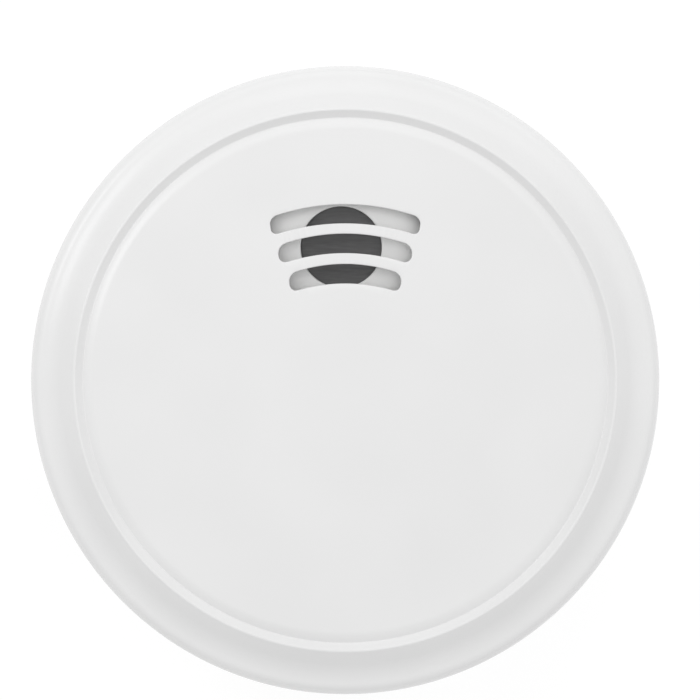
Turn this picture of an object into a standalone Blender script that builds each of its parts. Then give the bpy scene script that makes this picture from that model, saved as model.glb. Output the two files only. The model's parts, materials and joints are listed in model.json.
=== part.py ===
"""A ceiling smoke alarm: a bayonet mounting base, a rear housing with a vent band, a push-to-test
front cover with three sounder slots, and the circuit board, chamber, sounder and cell inside.

Metres, +Z from the ceiling face towards the room, +Y towards the sounder slots, origin in the
middle of the mounting base's back face. The alarm lies on its back.
"""

import math

import bmesh
import bpy
from mathutils import Matrix, Vector

MM = 0.001

# Clearances
GAP = 0.3 * MM  # between two pieces that touch
SLIDE_CLEARANCE = 0.4 * MM  # between a sliding piece and its guide
PRESS_CLEARANCE = 0.4 * MM  # left over the inner pieces when the cover is pressed home
KEYHOLE_CLEARANCE_DEG = 1.0
WELD = 1e-7

# Round shapes
LARGE_STEPS = 60
MEDIUM_STEPS = 36
SMALL_STEPS = 16
TINY_STEPS = 12
SECTOR_STEP_DEG = 4.0

# Overall sizes
COVER_RADIUS = 55.0 * MM
OVERALL_HEIGHT = 34.0 * MM

# Mounting base
BASE_RADIUS = 50.0 * MM
BASE_PLATE = 2.2 * MM
BASE_RIM_HEIGHT = 4.6 * MM
BASE_RIM_WALL = 2.0 * MM
BASE_OPENING_RADIUS = 15.0 * MM
BASE_COLLAR_WALL = 1.5 * MM
BASE_COLLAR_HEIGHT = 3.6 * MM
BASE_RIB_THICKNESS = 1.4 * MM
BASE_RIB_HEIGHT = 1.0 * MM  # above the plate
BASE_RIB_ANGLES = (45.0, 135.0, 225.0, 315.0)
BASE_FIRST_EDGE_DEG = 2.0  # keeps the round plate's edges off the corners of the screw slots
SCREW_SLOT_SPACING = 60.0 * MM
SCREW_SLOT_WIDTH = 5.2 * MM
SCREW_SLOT_LENGTH = 10.4 * MM

# Bayonet: three hooks on the base, three keyhole slots in the housing floor
TWIST_DEG = 15.0
HOOK_ANGLES = (60.0, 180.0, 300.0)
HOOK_RADIUS = 38.7 * MM
HOOK_POST = 1.8 * MM
HOOK_LIP = 5.0 * MM
HOOK_LIP_THICKNESS = 1.5 * MM
HOOK_HALF_DEG = 5.0

# Rear housing
HOUSING_STEP = 1.0 * MM  # the housing is this much smaller in radius than the cover
HOUSING_HEIGHT = 8.0 * MM
HOUSING_WALL = 2.0 * MM
HOUSING_FLOOR = 2.0 * MM
HOUSING_ROUND = 1.6 * MM
SHOULDER = 1.6 * MM
BAND_WALL = 1.8 * MM
BAND_CLEARANCE = 1.2 * MM  # from the vent band to the cover's skirt
BAND_HEIGHT = 9.0 * MM
VENT_COUNT = 30
VENT_WIDTH = 3.8 * MM
VENT_HEIGHT = 5.2 * MM
VENT_BOTTOM = 1.2 * MM  # above the shoulder
VENT_SHOWN = 7.5 * MM  # from the shoulder up to the cover's skirt

# Front cover
COVER_WALL = 2.0 * MM
EDGE_ROUND = 2.2 * MM
FLARE_START = 1.7 * MM  # the next four are measured in from the cover's radius
FLARE_CONE = 5.5 * MM
CREST_INSET = 7.5 * MM
CREST_WIDTH = 0.3 * MM
GROOVE_WIDTH = 1.3 * MM
DISC_ROUND = 2.0 * MM
CREST_DROP = 0.8 * MM  # below the top of the dome
GROOVE_DEPTH = 1.0 * MM
DISC_EDGE_RISE = 0.65 * MM
FLARE_SLOPE_DEG = 8.0
CONE_SLOPE_DEG = 42.0
COVER_TRAVEL = 0.6 * MM

# Sounder slots in the cover: three arches about one centre
SLOT_ARCH_CENTRE_Y = -9.8 * MM
SLOT_RADII = (39.1 * MM, 33.8 * MM, 28.5 * MM)
SLOT_HALF_DEG = (17.2, 17.3, 16.6)
SLOT_WIDTH = 3.5 * MM

# Cover snaps and return springs
SNAP_ANGLES = (30.0, 150.0, 270.0)
SNAP_WIDTH = 8.0 * MM
SNAP_STEM = 1.6 * MM
SNAP_CLEARANCE = 0.8 * MM
SNAP_BARB_HEIGHT = 1.8 * MM
SPRING_ANGLES = (0.0, 120.0, 240.0)
SPRING_RADIUS = 1.9 * MM  # to the middle of the wire
SPRING_WIRE = 0.5 * MM
SPRING_TURNS = 5
SPRING_POINTS_PER_TURN = 8
SPRING_SEAT_RADIUS = 2.2 * MM
SPRING_PIN_RADIUS = 1.1 * MM
SPRING_PIN_LENGTH = 3.5 * MM
SPRING_POST_HEIGHT = 6.0 * MM
SPRING_PEG_LENGTH = 3.0 * MM

# Circuit board and its screws
BOARD_THICKNESS = 1.6 * MM
BOSS_HEIGHT = 4.2 * MM
BOSS_RADIUS = 2.8 * MM
BOARD_SCREW_ANGLES = (20.0, 140.0, 270.0)
BOARD_SCREW_INSET = 3.5 * MM  # from the board's edge to a screw
SCREW_SHANK = 1.25 * MM
SCREW_HEAD = 2.5 * MM
SCREW_HEAD_HEIGHT = 1.8 * MM
SCREW_LENGTH = 5.0 * MM
SCREW_TIP = 0.75 * MM
SCREW_HEAD_EDGE = 0.7 * MM
SCREW_HEAD_CROWN = 1.75 * MM
SCREW_CROSS = 0.7 * MM
SCREW_CROSS_DEPTH = 1.0 * MM

# Lithium cell
CELL_RADIUS = 8.5 * MM
CELL_LENGTH = 33.5 * MM
CELL_CENTRE = (-23.0 * MM, -12.0 * MM)
CELL_BUTTON_RADIUS = 3.2 * MM
CELL_BUTTON_LENGTH = 1.0 * MM
CELL_CUTOUT_CLEARANCE = 0.5 * MM
CRADLE_WALL = 1.6 * MM
CRADLE_SPREAD = 10.0 * MM
CRADLE_HEIGHT = 3.6 * MM
CRADLE_INSET = 1.3 * MM  # from the cell's side to the cradle's
CELL_ROUND = 0.7 * MM
TAB_WIDTH = 6.0 * MM
TAB_THICKNESS = 0.3 * MM
TAB_HEIGHT = 6.0 * MM
TAB_FOOT = 3.0 * MM

# Smoke chamber
CHAMBER_CENTRE = (15.0 * MM, -20.5 * MM)
CHAMBER_RADIUS = 19.6 * MM
CHAMBER_FLOOR = 1.6 * MM
CHAMBER_CAP = 1.6 * MM
SCREEN_WALL = 0.4 * MM
FIN_COUNT = 18
FIN_DEPTH = 3.2 * MM
FIN_THICKNESS = 0.8 * MM
FIN_BEND = 1.6 * MM
FIN_RING = 0.8 * MM
OPTIC_ANGLES = (200.0, 340.0)
OPTIC_RADIUS = 1.5 * MM
OPTIC_FLANGE = 1.9 * MM
OPTIC_LENGTH = 5.6 * MM
OPTIC_CLEARANCE = 1.0 * MM  # from the fins to the back of a diode
HOLDER_LENGTH = 3.6 * MM
HOLDER_WIDTH = 5.6 * MM
PEG_RADIUS = 0.8 * MM
PEG_LENGTH = 1.2 * MM  # below the board

# Sounder
HORN_CENTRE = (-0.7 * MM, 23.3 * MM)
HORN_WALL = 1.6 * MM
HORN_MOUTH = 7.1 * MM
HORN_DOME_HEIGHT = 6.1 * MM
HORN_LEDGE_HEIGHT = 5.6 * MM  # from the board to the ledge that the disc bears on
HORN_LEDGE = 1.2 * MM
HORN_PEG_ANGLES = (90.0, 210.0, 330.0)
HORN_PEG_RADIUS = 0.6 * MM
HORN_FLATNESS = 0.62  # 1 makes the dome's section an ellipse, and less a squarer one
HORN_RIM = 0.4 * MM  # flat round the mouth
MESH_RECESS = 1.2 * MM
MESH_THICKNESS = 0.4 * MM
PIEZO_RADIUS = 13.5 * MM
PIEZO_MARGIN = 1.9 * MM  # from the sounder disc to the housing round it
PIEZO_THICKNESS = 0.3 * MM
CERAMIC_RADIUS = 10.0 * MM
CERAMIC_THICKNESS = 0.25 * MM
RETAINER_HEIGHT = 3.4 * MM
CONTACT_WIDTH = 1.6 * MM
CONTACT_THICKNESS = 0.3 * MM
CONTACT_FOOT = 2.4 * MM

# Test switch, in the middle under the cover's boss
SWITCH_SIDE = 6.0 * MM
SWITCH_HEIGHT = 3.6 * MM
SWITCH_FLOOR = 1.0 * MM
PLUNGER_RADIUS = 1.75 * MM
PLUNGER_ROUND = 0.3 * MM
PLUNGER_OUT = 2.0 * MM  # out of the switch body at rest
TEST_BOSS_RADIUS = 2.4 * MM

# Other parts on the board: each bearing is about the sounder, each margin is from its housing
LED_BEARING = 183.5
LED_MARGIN = 1.3 * MM
LED_RADIUS = 1.5 * MM
LED_HEIGHT = 3.2 * MM
PIPE_RADIUS = 1.4 * MM
PIPE_FOOT_RADIUS = 3.0 * MM
PIPE_FOOT_HEIGHT = 4.4 * MM
CHIP_POSITION = (27.0 * MM, 8.0 * MM)
CHIP_SIZE = (10.0 * MM, 3.9 * MM, 1.6 * MM)
CHIP_LEGS = 7
CHIP_LEG_PITCH = 1.27 * MM
CHIP_LEG_WIDTH = 0.45 * MM
CHIP_LEG_REACH = 1.0 * MM
CHIP_LEG_HEIGHT = 0.8 * MM
CAPACITOR_BEARING = 355.0
CAPACITOR_MARGIN = 5.6 * MM
CAPACITOR_RADIUS = 3.2 * MM
CAPACITOR_HEIGHT = 9.0 * MM
CAPACITOR_CRIMP = 0.4 * MM
CAPACITOR_CRIMP_HEIGHT = 1.5 * MM
COIL_BEARING = 21.0
COIL_MARGIN = 3.8 * MM
COIL_RADIUS = 3.5 * MM
COIL_HEIGHT = 6.5 * MM
COIL_FLANGE = 0.9 * MM
COIL_WINDING_INSET = 0.6 * MM

# Power slider: a peg on it stays in a fork on the base while the alarm turns
SLIDER_ANGLE = 105.0
SLIDER_RADIUS = 40.0 * MM
SLIDER_LENGTH_DEG = 8.0
SLIDER_WIDTH = 5.4 * MM
SLIDER_HEIGHT = 2.0 * MM
SLIDER_PEG = 1.2 * MM
FORK_FINGER = 1.6 * MM
WIPER_HEIGHT = 1.5 * MM

# Levels worked out from the sizes above
HOUSING_BOTTOM = BASE_RIM_HEIGHT + SLIDE_CLEARANCE
FLOOR_TOP = HOUSING_BOTTOM + HOUSING_FLOOR
SHOULDER_TOP = HOUSING_BOTTOM + HOUSING_HEIGHT
SKIRT_BOTTOM = SHOULDER_TOP + VENT_SHOWN
BOARD_BOTTOM = FLOOR_TOP + BOSS_HEIGHT + GAP
BOARD_TOP = BOARD_BOTTOM + BOARD_THICKNESS
ON_BOARD = BOARD_TOP + GAP
CREST_HEIGHT = OVERALL_HEIGHT - CREST_DROP
GROOVE_HEIGHT = CREST_HEIGHT - GROOVE_DEPTH
DISC_EDGE_HEIGHT = GROOVE_HEIGHT + DISC_EDGE_RISE
CELL_HEIGHT = FLOOR_TOP + GAP + CELL_RADIUS

# Radii worked out from the sizes above
SKIRT_INNER = COVER_RADIUS - COVER_WALL
HOUSING_RADIUS = COVER_RADIUS - HOUSING_STEP
HOUSING_INNER = HOUSING_RADIUS - HOUSING_WALL
BAND_RADIUS = SKIRT_INNER - BAND_CLEARANCE
BAND_INNER = BAND_RADIUS - BAND_WALL
CREST_RADIUS = COVER_RADIUS - CREST_INSET
GROOVE_RADIUS = CREST_RADIUS - GROOVE_WIDTH - CREST_WIDTH
DISC_EDGE_RADIUS = GROOVE_RADIUS - DISC_ROUND
SPRING_CIRCLE = BAND_INNER - SPRING_SEAT_RADIUS - SNAP_CLEARANCE
BOARD_RADIUS = SPRING_CIRCLE - SPRING_SEAT_RADIUS - SLIDE_CLEARANCE
BOARD_SCREW_CIRCLE = BOARD_RADIUS - BOARD_SCREW_INSET
HORN_BORE = PIEZO_RADIUS + PIEZO_MARGIN
HORN_RADIUS = HORN_BORE + HORN_WALL
HORN_LEDGE_RADIUS = PIEZO_RADIUS - HORN_LEDGE
FIN_OUTER = CHAMBER_RADIUS - SCREEN_WALL - 2 * GAP
FIN_INNER = FIN_OUTER - FIN_DEPTH
OPTIC_FRONT = FIN_INNER - OPTIC_CLEARANCE - OPTIC_LENGTH


def polar(radius, degrees, z=0.0):
    angle = math.radians(degrees)
    return Vector((radius * math.cos(angle), radius * math.sin(angle), z))


def arc(centre, radius, start, end, steps):
    """Points along an arc in any plane of two coordinates, with both ends."""
    turns = [math.radians(start + (end - start) * i / steps) for i in range(steps + 1)]
    return [(centre[0] + radius * math.cos(t), centre[1] + radius * math.sin(t)) for t in turns]


def turned(profile, steps=LARGE_STEPS, start=0.0, end=360.0):
    """A closed profile of (radius, height) turned about Z, all the way round or as a sector."""
    shape = bmesh.new()
    at_start = Matrix.Rotation(math.radians(start), 4, "Z")
    corners = [shape.verts.new(at_start @ Vector((r, 0.0, z))) for r, z in profile]
    whole = end - start >= 360.0
    if whole:
        pairs = zip(range(len(profile)), [*range(1, len(profile)), 0])
        off_axis = [(a, b) for a, b in pairs if max(profile[a][0], profile[b][0]) > 0.0]
        geometry = corners + [shape.edges.new((corners[a], corners[b])) for a, b in off_axis]
    else:
        geometry = [shape.faces.new(corners)]
    turn = math.radians(end - start)
    bmesh.ops.spin(shape, geom=geometry, axis=(0, 0, 1), angle=turn, steps=steps, use_merge=whole)
    bmesh.ops.remove_doubles(shape, verts=shape.verts, dist=WELD)
    return shape


def sector(inner, outer, start, end, bottom, top):
    steps = max(1, round((end - start) / SECTOR_STEP_DEG))
    return turned([(inner, bottom), (outer, bottom), (outer, top), (inner, top)], steps, start, end)


def rod(radius, bottom, top, steps=SMALL_STEPS):
    return turned([(0.0, bottom), (radius, bottom), (radius, top), (0.0, top)], steps)


def prism(outline, bottom, top):
    """An outline in X and Y, extruded from one height to another."""
    shape = bmesh.new()
    face = shape.faces.new([shape.verts.new((x, y, bottom)) for x, y in outline])
    grown = bmesh.ops.extrude_face_region(shape, geom=[face])["geom"]
    raised = [item for item in grown if isinstance(item, bmesh.types.BMVert)]
    bmesh.ops.translate(shape, vec=(0.0, 0.0, top - bottom), verts=raised)
    return shape


def block(size_x, size_y, bottom, top):
    x, y = size_x / 2, size_y / 2
    return prism([(-x, -y), (x, -y), (x, y), (-x, y)], bottom, top)


def moved(shape, place, turn_deg=0.0, tilt_deg=0.0):
    """The shape tilted about Y, then turned about Z, then moved."""
    turn = Matrix.Rotation(math.radians(turn_deg), 4, "Z")
    tilt = Matrix.Rotation(math.radians(tilt_deg), 4, "Y")
    bmesh.ops.transform(shape, matrix=Matrix.Translation(place) @ turn @ tilt, verts=shape.verts)
    return shape


def upright(shape):
    """A prism drawn in X and Y, stood up so that its outline is in X and Z."""
    stand = Matrix.Rotation(math.radians(90.0), 4, "X")
    bmesh.ops.transform(shape, matrix=stand, verts=shape.verts)
    return shape


def together(shapes):
    """One bmesh that holds all the shapes, which stay clear of each other."""
    whole = bmesh.new()
    for shape in shapes:
        mesh = bpy.data.meshes.new("piece")
        shape.to_mesh(mesh)
        shape.free()
        whole.from_mesh(mesh)
        bpy.data.meshes.remove(mesh)
    return whole


def solid(name, shape, look, at=(0.0, 0.0, 0.0), parent=None):
    """A named object from a bmesh, facing out, shaded smooth except at its sharp edges."""
    bmesh.ops.recalc_face_normals(shape, faces=shape.faces)
    mesh = bpy.data.meshes.new(name)
    shape.to_mesh(mesh)
    shape.free()
    mesh.materials.append(look)
    mesh.shade_smooth()
    mesh.set_sharp_from_angle(angle=math.radians(30.0))
    obj = bpy.data.objects.new(name, mesh)
    obj.location = at
    obj.parent = parent
    bpy.context.scene.collection.objects.link(obj)
    return obj


def boolean(target, operation, shapes):
    """Joins the shapes to the target, or cuts them from it, through one hidden object."""
    name = f"{target.name}_{operation.lower()}_{len(target.modifiers) + 1}"
    tool = solid(name, together(shapes), target.data.materials[0], target.location, target.parent)
    tool.hide_render = True
    tool.display_type = "WIRE"
    modifier = target.modifiers.new(name, "BOOLEAN")
    modifier.operation = operation
    modifier.object = tool


def material(name, colour, roughness, metallic=0.0):
    look = bpy.data.materials.new(name)
    look.use_nodes = True
    shader = look.node_tree.nodes["Principled BSDF"]
    shader.inputs["Base Color"].default_value = (*colour, 1.0)
    shader.inputs["Roughness"].default_value = roughness
    shader.inputs["Metallic"].default_value = metallic
    look.diffuse_color = (*colour, 1.0)
    return look


def pivot(name, at=(0.0, 0.0, 0.0), parent=None):
    """An empty on a joint's axis, which carries the pieces that move about it."""
    empty = bpy.data.objects.new(name, None)
    empty.location = at
    empty.parent = parent
    bpy.context.scene.collection.objects.link(empty)
    return empty


def dome_height(radius):
    """The height of the cover's dome, which ends at the disc's rounded edge."""
    rise = OVERALL_HEIGHT - DISC_EDGE_HEIGHT
    return DISC_EDGE_HEIGHT + rise * (1.0 - (radius / DISC_EDGE_RADIUS) ** 2)


def ceiling(radius):
    """The height of the cover's inner face under the dome."""
    return dome_height(radius) - COVER_WALL


def dome_radii():
    return [DISC_EDGE_RADIUS * share for share in (1.0, 0.8, 0.55, 0.3, 0.0)]


def flare():
    """From the rounded edge to the crest: a hollow arc, then a straight cone. Outermost first."""
    outer = COVER_RADIUS - FLARE_START
    cone_outer = COVER_RADIUS - FLARE_CONE
    start = math.radians(FLARE_SLOPE_DEG)
    end = math.radians(CONE_SLOPE_DEG)
    radius = (outer - cone_outer) / (math.sin(end) - math.sin(start))
    cone_rise = (cone_outer - CREST_RADIUS) * math.tan(end)
    cone_foot = CREST_HEIGHT - cone_rise
    slopes = [start + (end - start) * i / 3 for i in range(4)]
    hollow = [
        (
            cone_outer + radius * (math.sin(end) - math.sin(slope)),
            cone_foot - radius * (math.cos(slope) - math.cos(end)),
        )
        for slope in slopes
    ]
    return hollow + [(CREST_RADIUS, CREST_HEIGHT)]


def cover_profile():
    outer_flare = flare()
    edge_radius, edge_height = outer_flare[0]
    round_centre = (COVER_RADIUS - EDGE_ROUND, edge_height - EDGE_ROUND)
    edge = arc(round_centre, EDGE_ROUND, 0.0, 70.0, 3)
    crest = [(CREST_RADIUS - CREST_WIDTH, CREST_HEIGHT), (GROOVE_RADIUS, GROOVE_HEIGHT)]
    steps = 3
    disc_edge = [
        (
            GROOVE_RADIUS - DISC_ROUND * (1.0 - math.cos(math.pi / 2 * i / steps)),
            GROOVE_HEIGHT + DISC_EDGE_RISE * math.sin(math.pi / 2 * i / steps),
        )
        for i in range(1, steps)
    ]
    top = [(r, dome_height(r)) for r in dome_radii()]
    underside = [(r, ceiling(r)) for r in reversed(dome_radii())]
    inner_height = edge_height - COVER_WALL
    inner_edge = [
        (CREST_RADIUS, GROOVE_HEIGHT - COVER_WALL),
        (SKIRT_INNER - EDGE_ROUND / 3, inner_height),
        (SKIRT_INNER, inner_height - EDGE_ROUND / 3),
        (SKIRT_INNER, SKIRT_BOTTOM),
    ]
    skirt = [(COVER_RADIUS, SKIRT_BOTTOM)]
    return skirt + edge + outer_flare + crest + disc_edge + top + underside + inner_edge


def arched_slot(radius, half_deg, bottom, top):
    """A slot along an arch about the slots' own centre, with round ends."""
    half = SLOT_WIDTH / 2
    steps = 8
    upper = arc((0.0, 0.0), radius + half, 90.0 - half_deg, 90.0 + half_deg, steps)
    lower = arc((0.0, 0.0), radius - half, 90.0 + half_deg, 90.0 - half_deg, steps)
    left = arc(polar(radius, 90.0 + half_deg), half, 90.0 + half_deg, 270.0 + half_deg, 6)
    right = arc(polar(radius, 90.0 - half_deg), half, -90.0 - half_deg, 90.0 - half_deg, 6)
    outline = upper + left[1:-1] + lower + right[1:-1]
    return moved(prism(outline, bottom, top), (0.0, SLOT_ARCH_CENTRE_Y, 0.0))


def make_mounting_base(look):
    collar_outer = BASE_OPENING_RADIUS + BASE_COLLAR_WALL
    rim_inner = BASE_RADIUS - BASE_RIM_WALL
    profile = [
        (BASE_OPENING_RADIUS, 0.0),
        (BASE_RADIUS, 0.0),
        (BASE_RADIUS, BASE_RIM_HEIGHT),
        (rim_inner, BASE_RIM_HEIGHT),
        (rim_inner, BASE_PLATE),
        (collar_outer, BASE_PLATE),
        (collar_outer, BASE_COLLAR_HEIGHT),
        (BASE_OPENING_RADIUS, BASE_COLLAR_HEIGHT),
    ]
    first = BASE_FIRST_EDGE_DEG
    base = solid("mounting_base", turned(profile, LARGE_STEPS, first, first + 360.0), look)
    slots = []
    for angle in (0.0, 90.0, 180.0, 270.0):
        slot = screw_slot()
        slots.append(moved(slot, polar(SCREW_SLOT_SPACING / 2, angle), angle))
    boolean(base, "DIFFERENCE", slots)
    boolean(base, "UNION", [bayonet_hook(angle) for angle in HOOK_ANGLES])
    boolean(base, "UNION", fork_fingers())
    rib_inner = (collar_outer + BASE_OPENING_RADIUS) / 2
    rib_outer = BASE_RADIUS - BASE_RIM_WALL / 2
    ribs = []
    for angle in BASE_RIB_ANGLES:
        top = BASE_PLATE + BASE_RIB_HEIGHT
        rib = block(rib_outer - rib_inner, BASE_RIB_THICKNESS, BASE_PLATE / 2, top)
        ribs.append(moved(rib, polar((rib_inner + rib_outer) / 2, angle), angle))
    boolean(base, "UNION", ribs)
    return base


def screw_slot():
    half = SCREW_SLOT_WIDTH / 2
    reach = SCREW_SLOT_LENGTH / 2 - half
    outline = arc((reach, 0.0), half, -90.0, 90.0, 6) + arc((-reach, 0.0), half, 90.0, 270.0, 6)
    return prism(outline, -BASE_PLATE, 2 * BASE_PLATE)


def bayonet_hook(angle):
    """A post with a wide lip over the housing floor."""
    lip_bottom = FLOOR_TOP + GAP
    lip_top = lip_bottom + HOOK_LIP_THICKNESS
    post, lip = HOOK_POST / 2, HOOK_LIP / 2
    profile = [
        (HOOK_RADIUS - post, BASE_PLATE / 2),
        (HOOK_RADIUS + post, BASE_PLATE / 2),
        (HOOK_RADIUS + post, lip_bottom),
        (HOOK_RADIUS + lip, lip_bottom),
        (HOOK_RADIUS + lip, lip_top),
        (HOOK_RADIUS - lip, lip_top),
        (HOOK_RADIUS - lip, lip_bottom),
        (HOOK_RADIUS - post, lip_bottom),
    ]
    return turned(profile, 3, angle - HOOK_HALF_DEG, angle + HOOK_HALF_DEG)


def fork_fingers():
    """Two fingers on the base, one on each side of the slider's peg."""
    offset = SLIDER_PEG + GAP + FORK_FINGER / 2
    fingers = []
    for side in (-1.0, 1.0):
        finger = block(2 * SLIDER_PEG, FORK_FINGER, BASE_PLATE / 2, BASE_RIM_HEIGHT)
        place = Matrix.Rotation(math.radians(SLIDER_ANGLE), 4, "Z") @ Vector(
            (SLIDER_RADIUS, side * offset, 0.0)
        )
        fingers.append(moved(finger, place, SLIDER_ANGLE))
    return fingers


def keyhole(angle):
    """The floor slot of one hook: wide where the lip goes in, narrow where it locks."""
    wide = HOOK_LIP / 2 + SLIDE_CLEARANCE
    narrow = HOOK_POST / 2 + SLIDE_CLEARANCE
    spare = KEYHOLE_CLEARANCE_DEG
    entry_start = angle - TWIST_DEG - HOOK_HALF_DEG - spare
    entry_end = angle - TWIST_DEG + HOOK_HALF_DEG + spare
    lock_end = angle + HOOK_HALF_DEG + spare
    below, above = HOUSING_BOTTOM - HOUSING_FLOOR, FLOOR_TOP + HOUSING_FLOOR / 2
    entry = sector(HOOK_RADIUS - wide, HOOK_RADIUS + wide, entry_start, entry_end, below, above)
    lock = sector(
        HOOK_RADIUS - narrow, HOOK_RADIUS + narrow, entry_end - spare / 2, lock_end, below, above
    )
    return entry, lock


def make_rear_housing(look, parent):
    edge = arc(
        (HOUSING_RADIUS - HOUSING_ROUND, HOUSING_BOTTOM + HOUSING_ROUND), HOUSING_ROUND, -90.0, 0.0, 4
    )
    shoulder_edge = arc(
        (HOUSING_RADIUS - HOUSING_ROUND / 2, SHOULDER_TOP - HOUSING_ROUND / 2),
        HOUSING_ROUND / 2, 0.0, 90.0, 2,
    )
    band_top = SHOULDER_TOP + BAND_HEIGHT
    profile = [
        (0.0, HOUSING_BOTTOM),
        *edge,
        *shoulder_edge,
        (BAND_RADIUS, SHOULDER_TOP),
        (BAND_RADIUS, band_top),
        (BAND_INNER, band_top),
        (BAND_INNER, SHOULDER_TOP - SHOULDER),
        (HOUSING_INNER, SHOULDER_TOP - SHOULDER),
        (HOUSING_INNER, FLOOR_TOP),
        (0.0, FLOOR_TOP),
    ]
    housing = solid("rear_housing", turned(profile), look, parent=parent)
    boolean(housing, "DIFFERENCE", vent_cutters())
    entries, locks = zip(*[keyhole(angle) for angle in HOOK_ANGLES])
    boolean(housing, "DIFFERENCE", entries)
    boolean(housing, "DIFFERENCE", locks)
    boolean(housing, "DIFFERENCE", [slider_slot()])
    sunk = FLOOR_TOP - HOUSING_FLOOR / 2
    bosses = []
    for angle in BOARD_SCREW_ANGLES:
        boss = rod(BOSS_RADIUS, sunk, FLOOR_TOP + BOSS_HEIGHT)
        bosses.append(moved(boss, polar(BOARD_SCREW_CIRCLE, angle)))
    boolean(housing, "UNION", bosses + [spring_post(angle, sunk) for angle in SPRING_ANGLES])
    boolean(housing, "UNION", cell_cradles(sunk))
    pilots = []
    for angle in BOARD_SCREW_ANGLES:
        pilot = rod(SCREW_SHANK + GAP, FLOOR_TOP + GAP, BOARD_BOTTOM, TINY_STEPS)
        pilots.append(moved(pilot, polar(BOARD_SCREW_CIRCLE, angle)))
    boolean(housing, "DIFFERENCE", pilots)
    return housing


def vent_cutters():
    bottom = SHOULDER_TOP + VENT_BOTTOM
    depth = 3 * BAND_WALL
    middle = (BAND_RADIUS + BAND_INNER) / 2
    cutters = []
    for index in range(VENT_COUNT):
        angle = (index + 0.5) * 360.0 / VENT_COUNT
        cutter = block(depth, VENT_WIDTH, bottom, bottom + VENT_HEIGHT)
        cutters.append(moved(cutter, polar(middle, angle), angle))
    return cutters


def slider_slot():
    """The peg's arc through the floor, as long as the alarm's turn."""
    half = SLIDER_PEG + SLIDE_CLEARANCE
    spare = math.degrees(half / SLIDER_RADIUS)
    start = SLIDER_ANGLE - TWIST_DEG - spare
    below, above = HOUSING_BOTTOM - HOUSING_FLOOR, FLOOR_TOP + HOUSING_FLOOR / 2
    return sector(
        SLIDER_RADIUS - half, SLIDER_RADIUS + half, start, SLIDER_ANGLE + spare, below, above
    )


def spring_post(angle, sunk):
    seat = FLOOR_TOP + SPRING_POST_HEIGHT
    profile = [
        (0.0, sunk),
        (SPRING_SEAT_RADIUS, sunk),
        (SPRING_SEAT_RADIUS, seat),
        (SPRING_PIN_RADIUS, seat),
        (SPRING_PIN_RADIUS, seat + SPRING_PIN_LENGTH),
        (0.0, seat + SPRING_PIN_LENGTH),
    ]
    return moved(turned(profile, TINY_STEPS), polar(SPRING_CIRCLE, angle))


def cell_cradles(sunk):
    """Two cross walls that follow the cell's round side."""
    reach = CELL_RADIUS - CRADLE_INSET
    top = FLOOR_TOP + CRADLE_HEIGHT
    nest = CELL_RADIUS + GAP
    low, high = sunk - CELL_HEIGHT, top - CELL_HEIGHT
    edge_deg = math.degrees(math.asin(high / nest))
    hollow = arc((0.0, 0.0), nest, edge_deg, -180.0 - edge_deg, 8)
    outline = [(-reach, low), (reach, low), (reach, high), *hollow, (-reach, high)]
    cradles = []
    for side in (-1.0, 1.0):
        wall = upright(prism(outline, -CRADLE_WALL / 2, CRADLE_WALL / 2))
        place = (CELL_CENTRE[0], CELL_CENTRE[1] + side * CRADLE_SPREAD, CELL_HEIGHT)
        cradles.append(moved(wall, place))
    return cradles


def make_circuit_board(look, parent):
    board = solid("circuit_board", rod(BOARD_RADIUS, BOARD_BOTTOM, BOARD_TOP, LARGE_STEPS), look,
                  parent=parent)
    below, above = BOARD_BOTTOM - BOARD_THICKNESS, BOARD_TOP + BOARD_THICKNESS
    clear = 2 * CELL_CUTOUT_CLEARANCE
    window = block(2 * CELL_RADIUS + clear, CELL_LENGTH + 2 * CELL_BUTTON_LENGTH + clear, below, above)
    cuts = [moved(window, (*CELL_CENTRE, 0.0))]
    for angle in BOARD_SCREW_ANGLES:
        hole = rod(SCREW_SHANK + GAP, below, above, TINY_STEPS)
        cuts.append(moved(hole, polar(BOARD_SCREW_CIRCLE, angle)))
    for place in horn_peg_places() + chamber_peg_places():
        cuts.append(moved(rod(PEG_RADIUS + GAP, below, above, TINY_STEPS), place))
    boolean(board, "DIFFERENCE", cuts)
    return board


def make_board_screw(index, angle, look, parent):
    head = BOARD_TOP + GAP
    top = head + SCREW_HEAD_HEIGHT
    profile = [
        (0.0, head - SCREW_LENGTH),
        (SCREW_TIP, head - SCREW_LENGTH),
        (SCREW_SHANK, head - SCREW_LENGTH + SCREW_SHANK),
        (SCREW_SHANK, head),
        (SCREW_HEAD, head),
        (SCREW_HEAD, head + SCREW_HEAD_EDGE),
        (SCREW_HEAD_CROWN, top),
        (0.0, top),
    ]
    screw = solid(f"board_screw_{index}", turned(profile, SMALL_STEPS), look,
                  polar(BOARD_SCREW_CIRCLE, angle), parent)
    depth = top - SCREW_CROSS_DEPTH
    boolean(screw, "DIFFERENCE", [prism(cross_outline(), depth, top + SCREW_CROSS_DEPTH)])
    return screw


def cross_outline():
    """A cross of the driver's width, as far across as half the head."""
    near, far = SCREW_CROSS / 2, SCREW_HEAD / 2
    arm = [(far, -near), (far, near), (near, near)]
    turns = [Matrix.Rotation(math.radians(90.0 * quarter), 2) for quarter in range(4)]
    return [tuple(turn @ Vector(point)) for turn in turns for point in arm]


def horn_peg_places():
    middle = HORN_RADIUS - HORN_WALL / 2
    centre = Vector((*HORN_CENTRE, 0.0))
    return [centre + polar(middle, angle) for angle in HORN_PEG_ANGLES]


def chamber_peg_places():
    middle = CHAMBER_RADIUS - 2 * FIN_DEPTH
    centre = Vector((*CHAMBER_CENTRE, 0.0))
    return [centre + polar(middle, angle) for angle in (90.0, 270.0)]


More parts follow.
